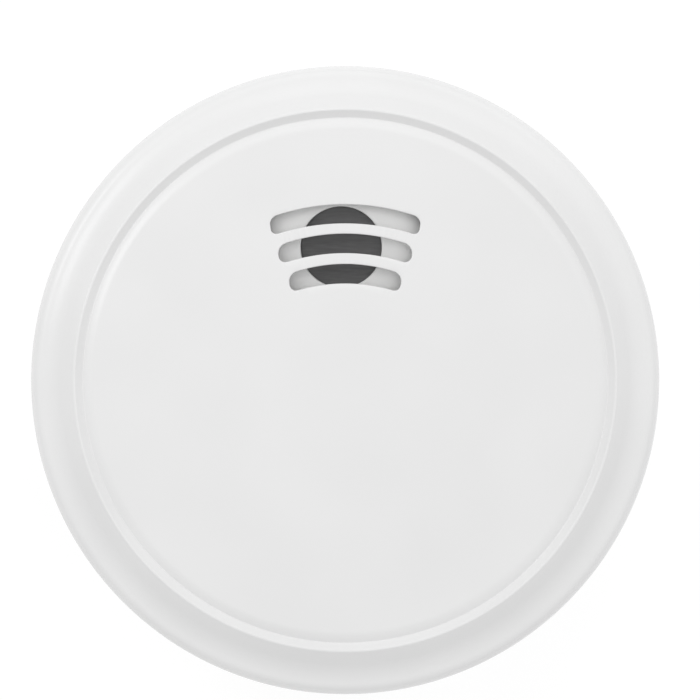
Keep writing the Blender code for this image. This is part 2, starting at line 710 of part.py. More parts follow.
def chamber_top():
    """The cap's top, under the lowest part of the ceiling that it reaches."""
    farthest = math.hypot(*CHAMBER_CENTRE) + CHAMBER_RADIUS
    lowest = min(GROOVE_HEIGHT - COVER_WALL, ceiling(farthest))
    return lowest - COVER_TRAVEL - PRESS_CLEARANCE


def make_chamber_base(look, parent):
    """The chamber's floor with its two diode holders and the pegs that go through the board."""
    floor_top = ON_BOARD + CHAMBER_FLOOR
    base = solid("chamber_base", rod(CHAMBER_RADIUS, ON_BOARD, floor_top, MEDIUM_STEPS), look,
                 (*CHAMBER_CENTRE, 0.0), parent)
    holders = []
    bores = []
    for angle in OPTIC_ANGLES:
        middle = OPTIC_FRONT + OPTIC_LENGTH / 2
        axis = optic_height()
        holder = block(HOLDER_LENGTH, HOLDER_WIDTH, floor_top - CHAMBER_FLOOR / 2, 2 * axis - floor_top)
        holders.append(moved(holder, polar(middle, angle), angle))
        bore = rod(OPTIC_RADIUS + GAP, -OPTIC_LENGTH, OPTIC_LENGTH, SMALL_STEPS)
        bores.append(moved(bore, polar(middle, angle, axis), angle, 90.0))
    boolean(base, "UNION", holders)
    pegs = []
    for place in chamber_peg_places():
        peg = rod(PEG_RADIUS, BOARD_BOTTOM - PEG_LENGTH, ON_BOARD + CHAMBER_FLOOR / 2, TINY_STEPS)
        pegs.append(moved(peg, place - Vector((*CHAMBER_CENTRE, 0.0))))
    boolean(base, "UNION", pegs)
    boolean(base, "DIFFERENCE", bores)
    return base


def optic_height():
    return ON_BOARD + CHAMBER_FLOOR + HOLDER_WIDTH / 2


def make_chamber_labyrinth(look, parent):
    """Bent fins that let smoke in and keep light out, hung from one ring."""
    top = chamber_top() - CHAMBER_CAP - GAP
    bottom = ON_BOARD + CHAMBER_FLOOR + GAP
    ring = ring_between(FIN_INNER, FIN_OUTER, top - FIN_RING, top)
    labyrinth = solid("chamber_labyrinth", ring, look, (*CHAMBER_CENTRE, 0.0), parent)
    middle = (FIN_INNER + FIN_OUTER) / 2
    half = FIN_THICKNESS / 2
    outline = [
        (FIN_INNER + half, -half), (middle, FIN_BEND - half), (FIN_OUTER - half, -half),
        (FIN_OUTER - half, half), (middle, FIN_BEND + half), (FIN_INNER + half, half),
    ]
    fins = []
    for index in range(FIN_COUNT):
        fin = prism(outline, bottom, top - FIN_RING / 2)
        fins.append(moved(fin, (0.0, 0.0, 0.0), index * 360.0 / FIN_COUNT))
    boolean(labyrinth, "UNION", fins)
    return labyrinth


def ring_between(inner, outer, bottom, top, steps=MEDIUM_STEPS):
    return turned([(inner, bottom), (outer, bottom), (outer, top), (inner, top)], steps)


def make_chamber_cap(look, parent):
    top = chamber_top()
    rim = CHAMBER_RADIUS - CHAMBER_CAP / 2
    profile = [
        (0.0, top - CHAMBER_CAP),
        (CHAMBER_RADIUS, top - CHAMBER_CAP),
        (CHAMBER_RADIUS, top - CHAMBER_CAP / 2),
        (rim, top),
        (0.0, top),
    ]
    return solid("chamber_cap", turned(profile, MEDIUM_STEPS), look, (*CHAMBER_CENTRE, 0.0), parent)


def make_insect_screen(look, parent):
    bottom = ON_BOARD + CHAMBER_FLOOR + GAP
    top = chamber_top() - CHAMBER_CAP - GAP
    ring = ring_between(CHAMBER_RADIUS - SCREEN_WALL, CHAMBER_RADIUS, bottom, top)
    return solid("insect_screen", ring, look, (*CHAMBER_CENTRE, 0.0), parent)


def make_diode(name, angle, look, parent):
    """A domed diode that lies in its holder and faces the chamber's middle."""
    nose = arc((0.0, OPTIC_LENGTH - OPTIC_RADIUS), OPTIC_RADIUS, 0.0, 90.0, 3)
    flange = OPTIC_RADIUS / 2
    profile = [(0.0, 0.0), (OPTIC_FLANGE, 0.0), (OPTIC_FLANGE, flange), (OPTIC_RADIUS, flange)]
    shape = turned(profile + nose[:-1] + [(0.0, OPTIC_LENGTH)], SMALL_STEPS)
    back = polar(OPTIC_FRONT + OPTIC_LENGTH, angle, optic_height())
    facing = moved(shape, back, angle, -90.0)
    return solid(name, facing, look, (*CHAMBER_CENTRE, 0.0), parent)


def horn_top():
    """The mouth's rim, under the ceiling when the cover is pressed home."""
    farthest = math.hypot(*HORN_CENTRE) + HORN_MOUTH + HORN_WALL
    return ceiling(farthest) - COVER_TRAVEL - PRESS_CLEARANCE


def horn_dome(mouth, base_radius, bottom, rise, steps):
    """Points of the sounder's dome as a flattened quarter ellipse, from its base in to the mouth."""
    turns = [math.pi / 2 * i / steps for i in range(steps + 1)]
    across = [mouth + (base_radius - mouth) * max(math.cos(t), 0.0) ** HORN_FLATNESS for t in turns]
    return [(r, bottom + rise * math.sin(t) ** HORN_FLATNESS) for r, t in zip(across, turns)]


def make_horn_housing(look, parent):
    top = horn_top()
    dome_foot = top - HORN_DOME_HEIGHT
    ledge = ON_BOARD + HORN_LEDGE_HEIGHT
    outside = horn_dome(HORN_MOUTH + HORN_RIM, HORN_RADIUS, dome_foot, HORN_DOME_HEIGHT, 5)
    inside = horn_dome(HORN_MOUTH, HORN_BORE, dome_foot, HORN_DOME_HEIGHT - HORN_WALL, 3)
    profile = [
        (HORN_BORE, ON_BOARD),
        (HORN_RADIUS, ON_BOARD),
        *outside,
        (HORN_MOUTH, top),
        *reversed(inside),
        (HORN_BORE, ledge + HORN_LEDGE),
        (HORN_LEDGE_RADIUS, ledge + HORN_LEDGE),
        (HORN_LEDGE_RADIUS, ledge),
        (HORN_BORE, ledge),
    ]
    horn = solid("horn_housing", turned(profile, MEDIUM_STEPS), look, (*HORN_CENTRE, 0.0), parent)
    pegs = []
    for place in horn_peg_places():
        peg = rod(HORN_PEG_RADIUS, BOARD_BOTTOM - PEG_LENGTH, ON_BOARD + HORN_WALL, TINY_STEPS)
        pegs.append(moved(peg, place - Vector((*HORN_CENTRE, 0.0))))
    boolean(horn, "UNION", pegs)
    return horn


def make_horn_mesh(look, parent):
    top = horn_top() - MESH_RECESS
    disc = rod(HORN_MOUTH - GAP, top - MESH_THICKNESS, top, MEDIUM_STEPS)
    return solid("horn_mesh", disc, look, (*HORN_CENTRE, 0.0), parent)


def piezo_bottom():
    return ON_BOARD + HORN_LEDGE_HEIGHT - GAP - PIEZO_THICKNESS


def make_piezo(plate_look, ceramic_look, parent):
    """The brass plate under the horn's ledge, with the ceramic on its lower side."""
    bottom = piezo_bottom()
    plate = rod(PIEZO_RADIUS, bottom, bottom + PIEZO_THICKNESS, MEDIUM_STEPS)
    solid("piezo_plate", plate, plate_look, (*HORN_CENTRE, 0.0), parent)
    ceramic_top = bottom - GAP
    ceramic = rod(CERAMIC_RADIUS, ceramic_top - CERAMIC_THICKNESS, ceramic_top, MEDIUM_STEPS)
    solid("piezo_ceramic", ceramic, ceramic_look, (*HORN_CENTRE, 0.0), parent)


def make_piezo_retainer(look, parent):
    top = piezo_bottom() - GAP
    inner = PIEZO_RADIUS - HORN_LEDGE
    ring = ring_between(inner, HORN_BORE - GAP, top - RETAINER_HEIGHT, top)
    return solid("piezo_retainer", ring, look, (*HORN_CENTRE, 0.0), parent)


def strip(path, thickness, width):
    """A bent metal strip: a path in X and Z with a thickness, as wide as width along Y."""
    sides = ([], [])
    for index, point in enumerate(path):
        before = Vector(path[max(index - 1, 0)])
        after = Vector(path[min(index + 1, len(path) - 1)])
        into = (Vector(point) - before).normalized() if index else (after - before).normalized()
        out = (after - Vector(point)).normalized() if index < len(path) - 1 else into
        along = (into + out).normalized()
        reach = thickness / 2 / max(along.dot(into), 0.5)
        normal = Vector((-along.y, along.x)) * reach
        sides[0].append(tuple(Vector(point) + normal))
        sides[1].append(tuple(Vector(point) - normal))
    return upright(prism(sides[0] + sides[1][::-1], -width / 2, width / 2))


def make_piezo_contact(index, reach, angle, top, look, parent):
    """A sprung strip from the board to the underside of the sounder disc."""
    foot = ON_BOARD + CONTACT_THICKNESS / 2
    tip = top - GAP - CONTACT_THICKNESS / 2
    path = [(0.0, foot), (CONTACT_FOOT, foot), (CONTACT_FOOT / 2, tip), (CONTACT_FOOT * 1.2, tip)]
    place = Vector((*HORN_CENTRE, 0.0)) + polar(reach, angle)
    return solid(f"piezo_contact_{index}", moved(strip(path, CONTACT_THICKNESS, CONTACT_WIDTH),
                 (0.0, 0.0, 0.0), angle), look, place, parent)


def make_lithium_cell(look, parent):
    """A cell on its side along Y, its button at the +Y end."""
    half = CELL_LENGTH / 2
    profile = [
        (0.0, -half),
        (CELL_RADIUS - CELL_ROUND, -half),
        (CELL_RADIUS, -half + CELL_ROUND),
        (CELL_RADIUS, half - CELL_ROUND),
        (CELL_RADIUS - CELL_ROUND, half),
        (CELL_BUTTON_RADIUS, half),
        (CELL_BUTTON_RADIUS, half + CELL_BUTTON_LENGTH),
        (0.0, half + CELL_BUTTON_LENGTH),
    ]
    cell = solid("lithium_cell", turned(profile, 24), look, (*CELL_CENTRE, CELL_HEIGHT), parent)
    cell.rotation_euler = (math.radians(-90.0), 0.0, 0.0)
    return cell


def make_cell_tab(name, side, look, parent):
    """A solder tab that stands on the board against one end of the cell."""
    cell_end = CELL_LENGTH / 2 + (CELL_BUTTON_LENGTH if side > 0 else 0.0)
    wall = cell_end + GAP + TAB_THICKNESS / 2
    foot = ON_BOARD + TAB_THICKNESS / 2
    far = CELL_LENGTH / 2 + CELL_BUTTON_LENGTH + CELL_CUTOUT_CLEARANCE + TAB_FOOT
    path = [(wall, foot + TAB_HEIGHT), (wall, foot), (far, foot)]
    turn = 90.0 * side
    tab = moved(strip(path, TAB_THICKNESS, TAB_WIDTH), (0.0, 0.0, 0.0), turn)
    return solid(name, tab, look, (*CELL_CENTRE, 0.0), parent)


def make_test_switch(body_look, plunger_look, parent, plunger_parent):
    top = ON_BOARD + SWITCH_HEIGHT
    body = solid("test_switch_body", block(SWITCH_SIDE, SWITCH_SIDE, ON_BOARD, top), body_look,
                 parent=parent)
    bore = rod(PLUNGER_RADIUS + SLIDE_CLEARANCE, ON_BOARD + SWITCH_FLOOR, top + SWITCH_FLOOR)
    boolean(body, "DIFFERENCE", [bore])
    bottom = ON_BOARD + SWITCH_FLOOR + COVER_TRAVEL + GAP
    profile = [
        (0.0, bottom),
        (PLUNGER_RADIUS, bottom),
        (PLUNGER_RADIUS, plunger_top() - PLUNGER_ROUND),
        (PLUNGER_RADIUS - PLUNGER_ROUND, plunger_top()),
        (0.0, plunger_top()),
    ]
    solid("test_switch_plunger", turned(profile, SMALL_STEPS), plunger_look, parent=plunger_parent)


def plunger_top():
    return ON_BOARD + SWITCH_HEIGHT + PLUNGER_OUT


def by_sounder(radius, margin, bearing):
    """The place of a round part of this radius, beside the sounder's housing."""
    return Vector((*HORN_CENTRE, 0.0)) + polar(HORN_RADIUS + margin + radius, bearing)


def make_status_light(led_look, pipe_look, parent):
    """The indicator diode on the board and the clear pipe that takes its light to the cover."""
    place = by_sounder(PIPE_FOOT_RADIUS, LED_MARGIN, LED_BEARING)
    dome = arc((0.0, ON_BOARD + LED_HEIGHT - LED_RADIUS), LED_RADIUS, 0.0, 90.0, 3)
    led = turned([(0.0, ON_BOARD), (LED_RADIUS, ON_BOARD), *dome[:-1], (0.0, ON_BOARD + LED_HEIGHT)],
                 SMALL_STEPS)
    solid("status_led", led, led_look, place, parent)
    pocket = LED_RADIUS + SLIDE_CLEARANCE
    pocket_top = ON_BOARD + LED_HEIGHT + GAP
    shoulder = ON_BOARD + PIPE_FOOT_HEIGHT
    top = ceiling(place.length + PIPE_RADIUS) - COVER_TRAVEL - PRESS_CLEARANCE
    profile = [
        (pocket, ON_BOARD),
        (PIPE_FOOT_RADIUS, ON_BOARD),
        (PIPE_FOOT_RADIUS, shoulder),
        (PIPE_RADIUS, shoulder + PIPE_RADIUS),
        (PIPE_RADIUS, top),
        (0.0, top),
        (0.0, pocket_top),
        (pocket, pocket_top),
    ]
    solid("light_pipe", turned(profile, SMALL_STEPS), pipe_look, place, parent)


def make_microcontroller(look, parent):
    """A small-outline chip with a row of legs on each long side."""
    length, width, height = CHIP_SIZE
    body = block(length, width, ON_BOARD + CHIP_LEG_WIDTH, ON_BOARD + CHIP_LEG_WIDTH + height)
    chip = solid("microcontroller", body, look, (*CHIP_POSITION, 0.0), parent)
    knee = ON_BOARD + CHIP_LEG_HEIGHT
    thin = CHIP_LEG_WIDTH * 0.6
    inner, outer = width / 2 - CHIP_LEG_WIDTH, width / 2 + CHIP_LEG_REACH
    bend = width / 2 + CHIP_LEG_REACH * 0.4
    legs = []
    for row in (90.0, 270.0):
        for index in range(CHIP_LEGS):
            path = [(inner, knee), (bend, knee), (bend, ON_BOARD + thin / 2), (outer, ON_BOARD + thin / 2)]
            leg = moved(strip(path, thin, CHIP_LEG_WIDTH), (0.0, 0.0, 0.0), row)
            step = (index - (CHIP_LEGS - 1) / 2) * CHIP_LEG_PITCH
            legs.append(moved(leg, (step, 0.0, 0.0)))
    boolean(chip, "UNION", legs)
    return chip


def make_storage_capacitor(look, parent):
    top = ON_BOARD + CAPACITOR_HEIGHT
    crimp = ON_BOARD + CAPACITOR_CRIMP_HEIGHT
    waist = CAPACITOR_RADIUS - CAPACITOR_CRIMP
    profile = [
        (0.0, ON_BOARD), (waist, ON_BOARD), (CAPACITOR_RADIUS, ON_BOARD + CAPACITOR_CRIMP),
        (CAPACITOR_RADIUS, crimp - CAPACITOR_CRIMP), (waist, crimp),
        (CAPACITOR_RADIUS, crimp + CAPACITOR_CRIMP), (CAPACITOR_RADIUS, top - CAPACITOR_CRIMP),
        (waist, top), (0.0, top),
    ]
    place = by_sounder(CAPACITOR_RADIUS, CAPACITOR_MARGIN, CAPACITOR_BEARING)
    return solid("storage_capacitor", turned(profile, SMALL_STEPS), look, place, parent)


def make_sounder_coil(look, parent):
    """A drum core with its winding between two flanges."""
    top = ON_BOARD + COIL_HEIGHT
    winding = COIL_RADIUS - COIL_WINDING_INSET
    profile = [
        (0.0, ON_BOARD), (COIL_RADIUS, ON_BOARD), (COIL_RADIUS, ON_BOARD + COIL_FLANGE),
        (winding, ON_BOARD + COIL_FLANGE), (winding, top - COIL_FLANGE),
        (COIL_RADIUS, top - COIL_FLANGE), (COIL_RADIUS, top), (0.0, top),
    ]
    place = by_sounder(COIL_RADIUS, COIL_MARGIN, COIL_BEARING)
    return solid("sounder_coil", turned(profile, SMALL_STEPS), look, place, parent)


def make_power_slider(look, wiper_look, parent):
    """The slider on the housing floor, its peg down in the base's fork, its wiper under the board."""
    bottom = FLOOR_TOP + GAP
    top = bottom + SLIDER_HEIGHT
    half = SLIDER_WIDTH / 2
    start, end = SLIDER_ANGLE - SLIDER_LENGTH_DEG / 2, SLIDER_ANGLE + SLIDER_LENGTH_DEG / 2
    body = sector(SLIDER_RADIUS - half, SLIDER_RADIUS + half, start, end, bottom, top)
    slider = solid("power_slider", body, look, parent=parent)
    peg = rod(SLIDER_PEG, BASE_PLATE + GAP, (bottom + top) / 2, SMALL_STEPS)
    boolean(slider, "UNION", [moved(peg, polar(SLIDER_RADIUS, SLIDER_ANGLE))])
    foot = top + GAP + CONTACT_THICKNESS / 2
    tip = foot + WIPER_HEIGHT - CONTACT_THICKNESS
    path = [(-half, tip), (-half / 2, foot), (half / 2, foot), (half, tip)]
    wiper = moved(strip(path, CONTACT_THICKNESS, CONTACT_WIDTH), polar(SLIDER_RADIUS, SLIDER_ANGLE),
                  SLIDER_ANGLE)
    solid("slider_wiper", wiper, wiper_look, parent=parent)


def make_front_cover(look, parent):
    cover = solid("front_cover", turned(cover_profile()), look, parent=parent)
    slots = []
    for radius, half_deg in zip(SLOT_RADII, SLOT_HALF_DEG):
        slots.append(arched_slot(radius, half_deg, SKIRT_BOTTOM, OVERALL_HEIGHT + COVER_WALL))
    boolean(cover, "DIFFERENCE", slots)
    boolean(cover, "UNION", [snap_hook(angle) for angle in SNAP_ANGLES])
    sunk = COVER_WALL / 2
    boss = rod(TEST_BOSS_RADIUS, plunger_top() + GAP, ceiling(0.0) + sunk)
    pegs = [spring_peg(angle, sunk) for angle in SPRING_ANGLES]
    boolean(cover, "UNION", [boss, *pegs])
    return cover


def snap_hook(angle):
    """A stem down from the cover with a barb under the housing's shoulder."""
    outer = BAND_INNER - SNAP_CLEARANCE
    inner = outer - SNAP_STEM
    barb_outer = HOUSING_INNER - SNAP_CLEARANCE
    barb_top = SHOULDER_TOP - SHOULDER - GAP
    bottom = barb_top - SNAP_BARB_HEIGHT
    top = GROOVE_HEIGHT - COVER_WALL / 2
    outline = [
        (inner, bottom), (outer, bottom), (barb_outer, barb_top - SNAP_BARB_HEIGHT / 3),
        (barb_outer, barb_top), (outer, barb_top), (outer, top), (inner, top),
    ]
    hook = upright(prism(outline, -SNAP_WIDTH / 2, SNAP_WIDTH / 2))
    return moved(hook, (0.0, 0.0, 0.0), angle)


def spring_ends():
    """The heights of the spring's two seats."""
    bottom = FLOOR_TOP + SPRING_POST_HEIGHT
    top = GROOVE_HEIGHT - COVER_WALL - SPRING_PEG_LENGTH
    return bottom, top


def spring_peg(angle, sunk):
    """A seat under the cover with a pin inside the spring's upper end."""
    seat = spring_ends()[1]
    top = seat + SPRING_PEG_LENGTH + sunk
    profile = [
        (0.0, seat - SPRING_PIN_LENGTH),
        (SPRING_PIN_RADIUS, seat - SPRING_PIN_LENGTH),
        (SPRING_PIN_RADIUS, seat),
        (SPRING_SEAT_RADIUS, seat),
        (SPRING_SEAT_RADIUS, top),
        (0.0, top),
    ]
    return moved(turned(profile, TINY_STEPS), polar(SPRING_CIRCLE, angle))


def make_cover_spring(index, angle, look, parent):
    """A coil of round wire between a housing post and a cover peg."""
    bottom, top = spring_ends()
    low = bottom + GAP + SPRING_WIRE / 2
    high = top - GAP - SPRING_WIRE / 2
    count = SPRING_TURNS * SPRING_POINTS_PER_TURN
    curve = bpy.data.curves.new(f"cover_spring_{index}", "CURVE")
    curve.dimensions = "3D"
    curve.bevel_depth = SPRING_WIRE / 2
    curve.bevel_resolution = 1
    curve.use_fill_caps = True
    curve.materials.append(look)
    spline = curve.splines.new("POLY")
    spline.points.add(count)
    for step, point in enumerate(spline.points):
        share = step / count
        place = polar(SPRING_RADIUS, 360.0 * SPRING_TURNS * share, low + (high - low) * share)
        point.co = (*place, 1.0)
    spring = bpy.data.objects.new(f"cover_spring_{index}", curve)
    spring.location = polar(SPRING_CIRCLE, angle)
    spring.parent = parent
    bpy.context.scene.collection.objects.link(spring)
    return spring


def main():
    for obj in list(bpy.data.objects):
        bpy.data.objects.remove(obj)

    white = material("white_plastic", (0.83, 0.83, 0.83), 0.38)
    base_white = material("base_plastic", (0.80, 0.80, 0.79), 0.45)
    horn_white = material("sounder_plastic", (0.78, 0.78, 0.77), 0.45)
    black = material("black_plastic", (0.02, 0.02, 0.02), 0.55)
    dark_mesh = material("sounder_mesh", (0.075, 0.075, 0.078), 0.7)
    screen = material("steel_screen", (0.45, 0.45, 0.46), 0.4, 1.0)
    board_green = material("circuit_board", (0.03, 0.20, 0.07), 0.45)
    steel = material("zinc_steel", (0.62, 0.62, 0.62), 0.35, 1.0)
    brass = material("brass", (0.75, 0.55, 0.22), 0.3, 1.0)
    ceramic = material("piezo_ceramic", (0.80, 0.79, 0.72), 0.5)
    cell_wrap = material("cell_sleeve", (0.05, 0.10, 0.32), 0.35)
    red_lens = material("red_lens", (0.60, 0.03, 0.03), 0.15)
    clear_lens = material("clear_lens", (0.75, 0.80, 0.85), 0.1)
    blue_lens = material("infrared_lens", (0.30, 0.30, 0.55), 0.15)
    copper = material("copper_winding", (0.55, 0.22, 0.08), 0.35, 1.0)
    aluminium = material("capacitor_can", (0.70, 0.70, 0.72), 0.3, 1.0)
    dark_lens = material("photodiode_lens", (0.03, 0.02, 0.03), 0.2)
    tin = material("tinned_strip", (0.66, 0.66, 0.64), 0.3, 1.0)

    twist = pivot("detector_twist_axis")
    press = pivot("cover_press_axis", parent=twist)
    plunger = pivot("plunger_press_axis", parent=twist)
    slider = pivot("slider_turn_axis", parent=twist)

    make_mounting_base(base_white)
    make_rear_housing(white, twist)
    make_circuit_board(board_green, twist)
    for index, angle in enumerate(BOARD_SCREW_ANGLES, 1):
        make_board_screw(index, angle, steel, twist)
    make_chamber_base(black, twist)
    make_chamber_labyrinth(black, twist)
    make_chamber_cap(black, twist)
    make_insect_screen(screen, twist)
    make_diode("infrared_led", OPTIC_ANGLES[0], blue_lens, twist)
    make_diode("photodiode", OPTIC_ANGLES[1], dark_lens, twist)
    make_horn_housing(horn_white, twist)
    make_horn_mesh(dark_mesh, twist)
    make_piezo(brass, ceramic, twist)
    make_piezo_retainer(black, twist)
    ceramic_bottom = piezo_bottom() - GAP - CERAMIC_THICKNESS
    plate_edge = (PIEZO_RADIUS - HORN_LEDGE + CERAMIC_RADIUS) / 2
    make_piezo_contact(1, CERAMIC_RADIUS * 0.1, 30.0, ceramic_bottom, tin, twist)
    make_piezo_contact(2, CERAMIC_RADIUS * 0.3, 150.0, ceramic_bottom, tin, twist)
    make_piezo_contact(3, plate_edge - CONTACT_FOOT, 270.0, ceramic_bottom, tin, twist)
    make_lithium_cell(cell_wrap, twist)
    make_cell_tab("cell_positive_tab", 1.0, tin, twist)
    make_cell_tab("cell_negative_tab", -1.0, tin, twist)
    make_test_switch(black, steel, twist, plunger)
    make_status_light(red_lens, clear_lens, twist)
    make_microcontroller(black, twist)
    make_storage_capacitor(aluminium, twist)
    make_sounder_coil(copper, twist)
    make_power_slider(black, brass, slider)
    for index, angle in enumerate(SPRING_ANGLES, 1):
        make_cover_spring(index, angle, steel, twist)
    make_front_cover(white, press)


main()
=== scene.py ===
"""The looks of the ceiling smoke alarm: fine meshes and moulded-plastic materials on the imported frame.

Metres, +Z from the ceiling face towards the room, +Y towards the sounder slots.
"""

import json
import math

import bmesh
import bpy
from mathutils import Matrix, Vector

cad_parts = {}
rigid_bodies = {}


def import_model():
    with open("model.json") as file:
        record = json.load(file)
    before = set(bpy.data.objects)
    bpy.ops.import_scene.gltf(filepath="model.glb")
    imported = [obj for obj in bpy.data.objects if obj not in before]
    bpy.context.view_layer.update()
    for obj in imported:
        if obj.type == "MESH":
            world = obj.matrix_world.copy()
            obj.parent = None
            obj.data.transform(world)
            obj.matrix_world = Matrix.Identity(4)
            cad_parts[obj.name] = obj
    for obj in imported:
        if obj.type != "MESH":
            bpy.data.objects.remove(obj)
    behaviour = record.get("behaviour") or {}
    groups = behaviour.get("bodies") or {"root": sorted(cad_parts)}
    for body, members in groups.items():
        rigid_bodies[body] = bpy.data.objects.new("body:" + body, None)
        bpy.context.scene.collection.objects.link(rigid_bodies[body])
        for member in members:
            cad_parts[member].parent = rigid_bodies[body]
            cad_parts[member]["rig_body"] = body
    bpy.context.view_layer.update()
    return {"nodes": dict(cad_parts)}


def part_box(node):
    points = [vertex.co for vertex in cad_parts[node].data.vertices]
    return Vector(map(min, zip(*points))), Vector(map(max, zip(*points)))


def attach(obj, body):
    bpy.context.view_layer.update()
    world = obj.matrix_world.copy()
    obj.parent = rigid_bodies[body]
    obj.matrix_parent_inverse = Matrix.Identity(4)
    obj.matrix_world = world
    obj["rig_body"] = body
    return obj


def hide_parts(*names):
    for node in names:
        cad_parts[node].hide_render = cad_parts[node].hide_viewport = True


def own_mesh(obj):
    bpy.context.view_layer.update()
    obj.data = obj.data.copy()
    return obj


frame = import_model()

MM = 0.001
WHOLE_STEPS = 288  # round the large shells
PART_STEPS = 96  # round the pieces inside
SMALL_STEPS = 40
WELD = 1e-6

# The frame's own sizes
COVER_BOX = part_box("front_cover")
HOUSING_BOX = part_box("rear_housing")
HORN_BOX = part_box("horn_housing")
MESH_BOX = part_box("horn_mesh")
BOARD_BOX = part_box("circuit_board")

# Front cover
COVER_RADIUS = COVER_BOX[1].x
COVER_TOP = COVER_BOX[1].z
COVER_WALL = 2.0 * MM
EDGE_ROUND = 2.2 * MM
FLARE_CONE = 5.5 * MM
CREST_INSET = 7.5 * MM
CREST_WIDTH = 0.3 * MM
GROOVE_WIDTH = 1.3 * MM
DISC_ROUND = 2.0 * MM
CREST_DROP = 0.8 * MM
GROOVE_DEPTH = 1.0 * MM
DISC_EDGE_RISE = 0.65 * MM
DISC_EDGE_POWER = 1.7  # 1 makes the disc's edge a straight cone, and more makes it fuller
FLARE_SLOPE_DEG = 8.0
CONE_SLOPE_DEG = 42.0
SKIRT_OVERLAP = 1.5 * MM  # of the skirt over the vent band

# Sounder slots
SLOT_ARCH_CENTRE_Y = -9.8 * MM
SLOT_RADII = (38.85 * MM, 33.7 * MM, 28.4 * MM)
SLOT_HALF_DEG = (17.2, 17.3, 16.6)
SLOT_WIDTHS = (3.5 * MM, 3.6 * MM, 3.6 * MM)
SLOT_CORNERS = (1.25 * MM, 1.5 * MM, 1.45 * MM)
SLOT_FILLET = 0.2 * MM
SLOT_END_LEAN = 0.35  # 1 makes the slots' ends point at the arches' centre, and 0 makes them upright

# Snaps, spring pegs and test boss under the cover
SNAP_ANGLES = (30.0, 150.0, 270.0)
SNAP_WIDTH = 8.0 * MM
SNAP_STEM = 1.6 * MM
SNAP_CLEARANCE = 0.8 * MM
SNAP_BARB_HEIGHT = 1.8 * MM
SPRING_ANGLES = (0.0, 120.0, 240.0)
SPRING_SEAT_RADIUS = 2.2 * MM
SPRING_PIN_RADIUS = 1.1 * MM
SPRING_PIN_LENGTH = 3.5 * MM
SPRING_POST_HEIGHT = 6.0 * MM
SPRING_PEG_LENGTH = 3.0 * MM
SPRING_TURNS = 5
SPRING_COIL_RADIUS = 1.9 * MM
SPRING_WIRE = 0.25 * MM
TEST_BOSS_RADIUS = 2.4 * MM
GAP = 0.3 * MM

# Rear housing
HOUSING_RADIUS = HOUSING_BOX[1].x
HOUSING_BOTTOM = HOUSING_BOX[0].z
BAND_TOP = HOUSING_BOX[1].z
HOUSING_WALL = 2.0 * MM
HOUSING_FLOOR = 2.0 * MM
HOUSING_ROUND = 1.6 * MM
SHOULDER = 1.6 * MM
BAND_CLEARANCE = 1.2 * MM
BAND_WALL = 1.8 * MM
BAND_HEIGHT = 9.0 * MM
VENT_COUNT = 30
VENT_WIDTH = 3.8 * MM
VENT_HEIGHT = 5.2 * MM
VENT_BOTTOM = 1.2 * MM
VENT_CORNER = 0.5 * MM
VENT_FILLET = 0.3 * MM
BOSS_RADIUS = 2.8 * MM
BOSS_HEIGHT = 4.2 * MM
BOARD_SCREW_ANGLES = (20.0, 140.0, 270.0)
BOARD_SCREW_CIRCLE = 41.0 * MM
SCREW_PILOT = 1.55 * MM
CRADLE_PLACES = (-22.0 * MM, -2.0 * MM)
CRADLE_HEIGHT = 3.6 * MM
CRADLE_WALL = 1.6 * MM
CRADLE_INSET = 1.3 * MM

# Mounting base
BASE_RADIUS = 50.0 * MM
BASE_PLATE = 2.2 * MM
BASE_RIM_HEIGHT = 4.6 * MM
BASE_RIM_WALL = 2.0 * MM
BASE_OPENING_RADIUS = 15.0 * MM
BASE_COLLAR_WALL = 1.5 * MM
BASE_COLLAR_HEIGHT = 3.6 * MM
BASE_RIB_THICKNESS = 1.4 * MM
BASE_RIB_HEIGHT = 1.0 * MM
BASE_RIB_ANGLES = (45.0, 135.0, 225.0, 315.0)
SCREW_SLOT_ANGLES = (0.0, 90.0, 180.0, 270.0)
SCREW_SLOT_SPACING = 60.0 * MM
SCREW_SLOT_WIDTH = 5.2 * MM
SCREW_SLOT_LENGTH = 10.4 * MM
SCREW_SLOT_FILLET = 0.5 * MM

# Bayonet and power slider
TWIST_DEG = 15.0
HOOK_ANGLES = (60.0, 180.0, 300.0)
HOOK_RADIUS = 38.7 * MM
HOOK_POST = 1.8 * MM
HOOK_LIP = 5.0 * MM
HOOK_LIP_THICKNESS = 1.5 * MM
HOOK_HALF_DEG = 5.0
SLIDE_CLEARANCE = 0.4 * MM
KEYHOLE_CLEARANCE_DEG = 1.0
SLIDER_ANGLE = 105.0
SLIDER_RADIUS = 40.0 * MM
SLIDER_PEG = 1.2 * MM
FORK_FINGER = 1.6 * MM

# Sounder
HORN_CENTRE = ((HORN_BOX[0] + HORN_BOX[1]) / 2).to_2d()
HORN_RADIUS = (HORN_BOX[1].x - HORN_BOX[0].x) / 2
HORN_TOP = HORN_BOX[1].z
HORN_WALL = 1.6 * MM
HORN_MOUTH = 7.1 * MM
HORN_RIM = 0.4 * MM
HORN_DOME_HEIGHT = 6.1 * MM
HORN_FLATNESS = 0.62
HORN_LEDGE_HEIGHT = 5.6 * MM
HORN_LEDGE = 1.2 * MM
HORN_LEDGE_RADIUS = 12.3 * MM
HORN_SEAT = 1.2 * MM  # the lip under the cloth, inwards and down
CLOTH_GAP = 0.05 * MM

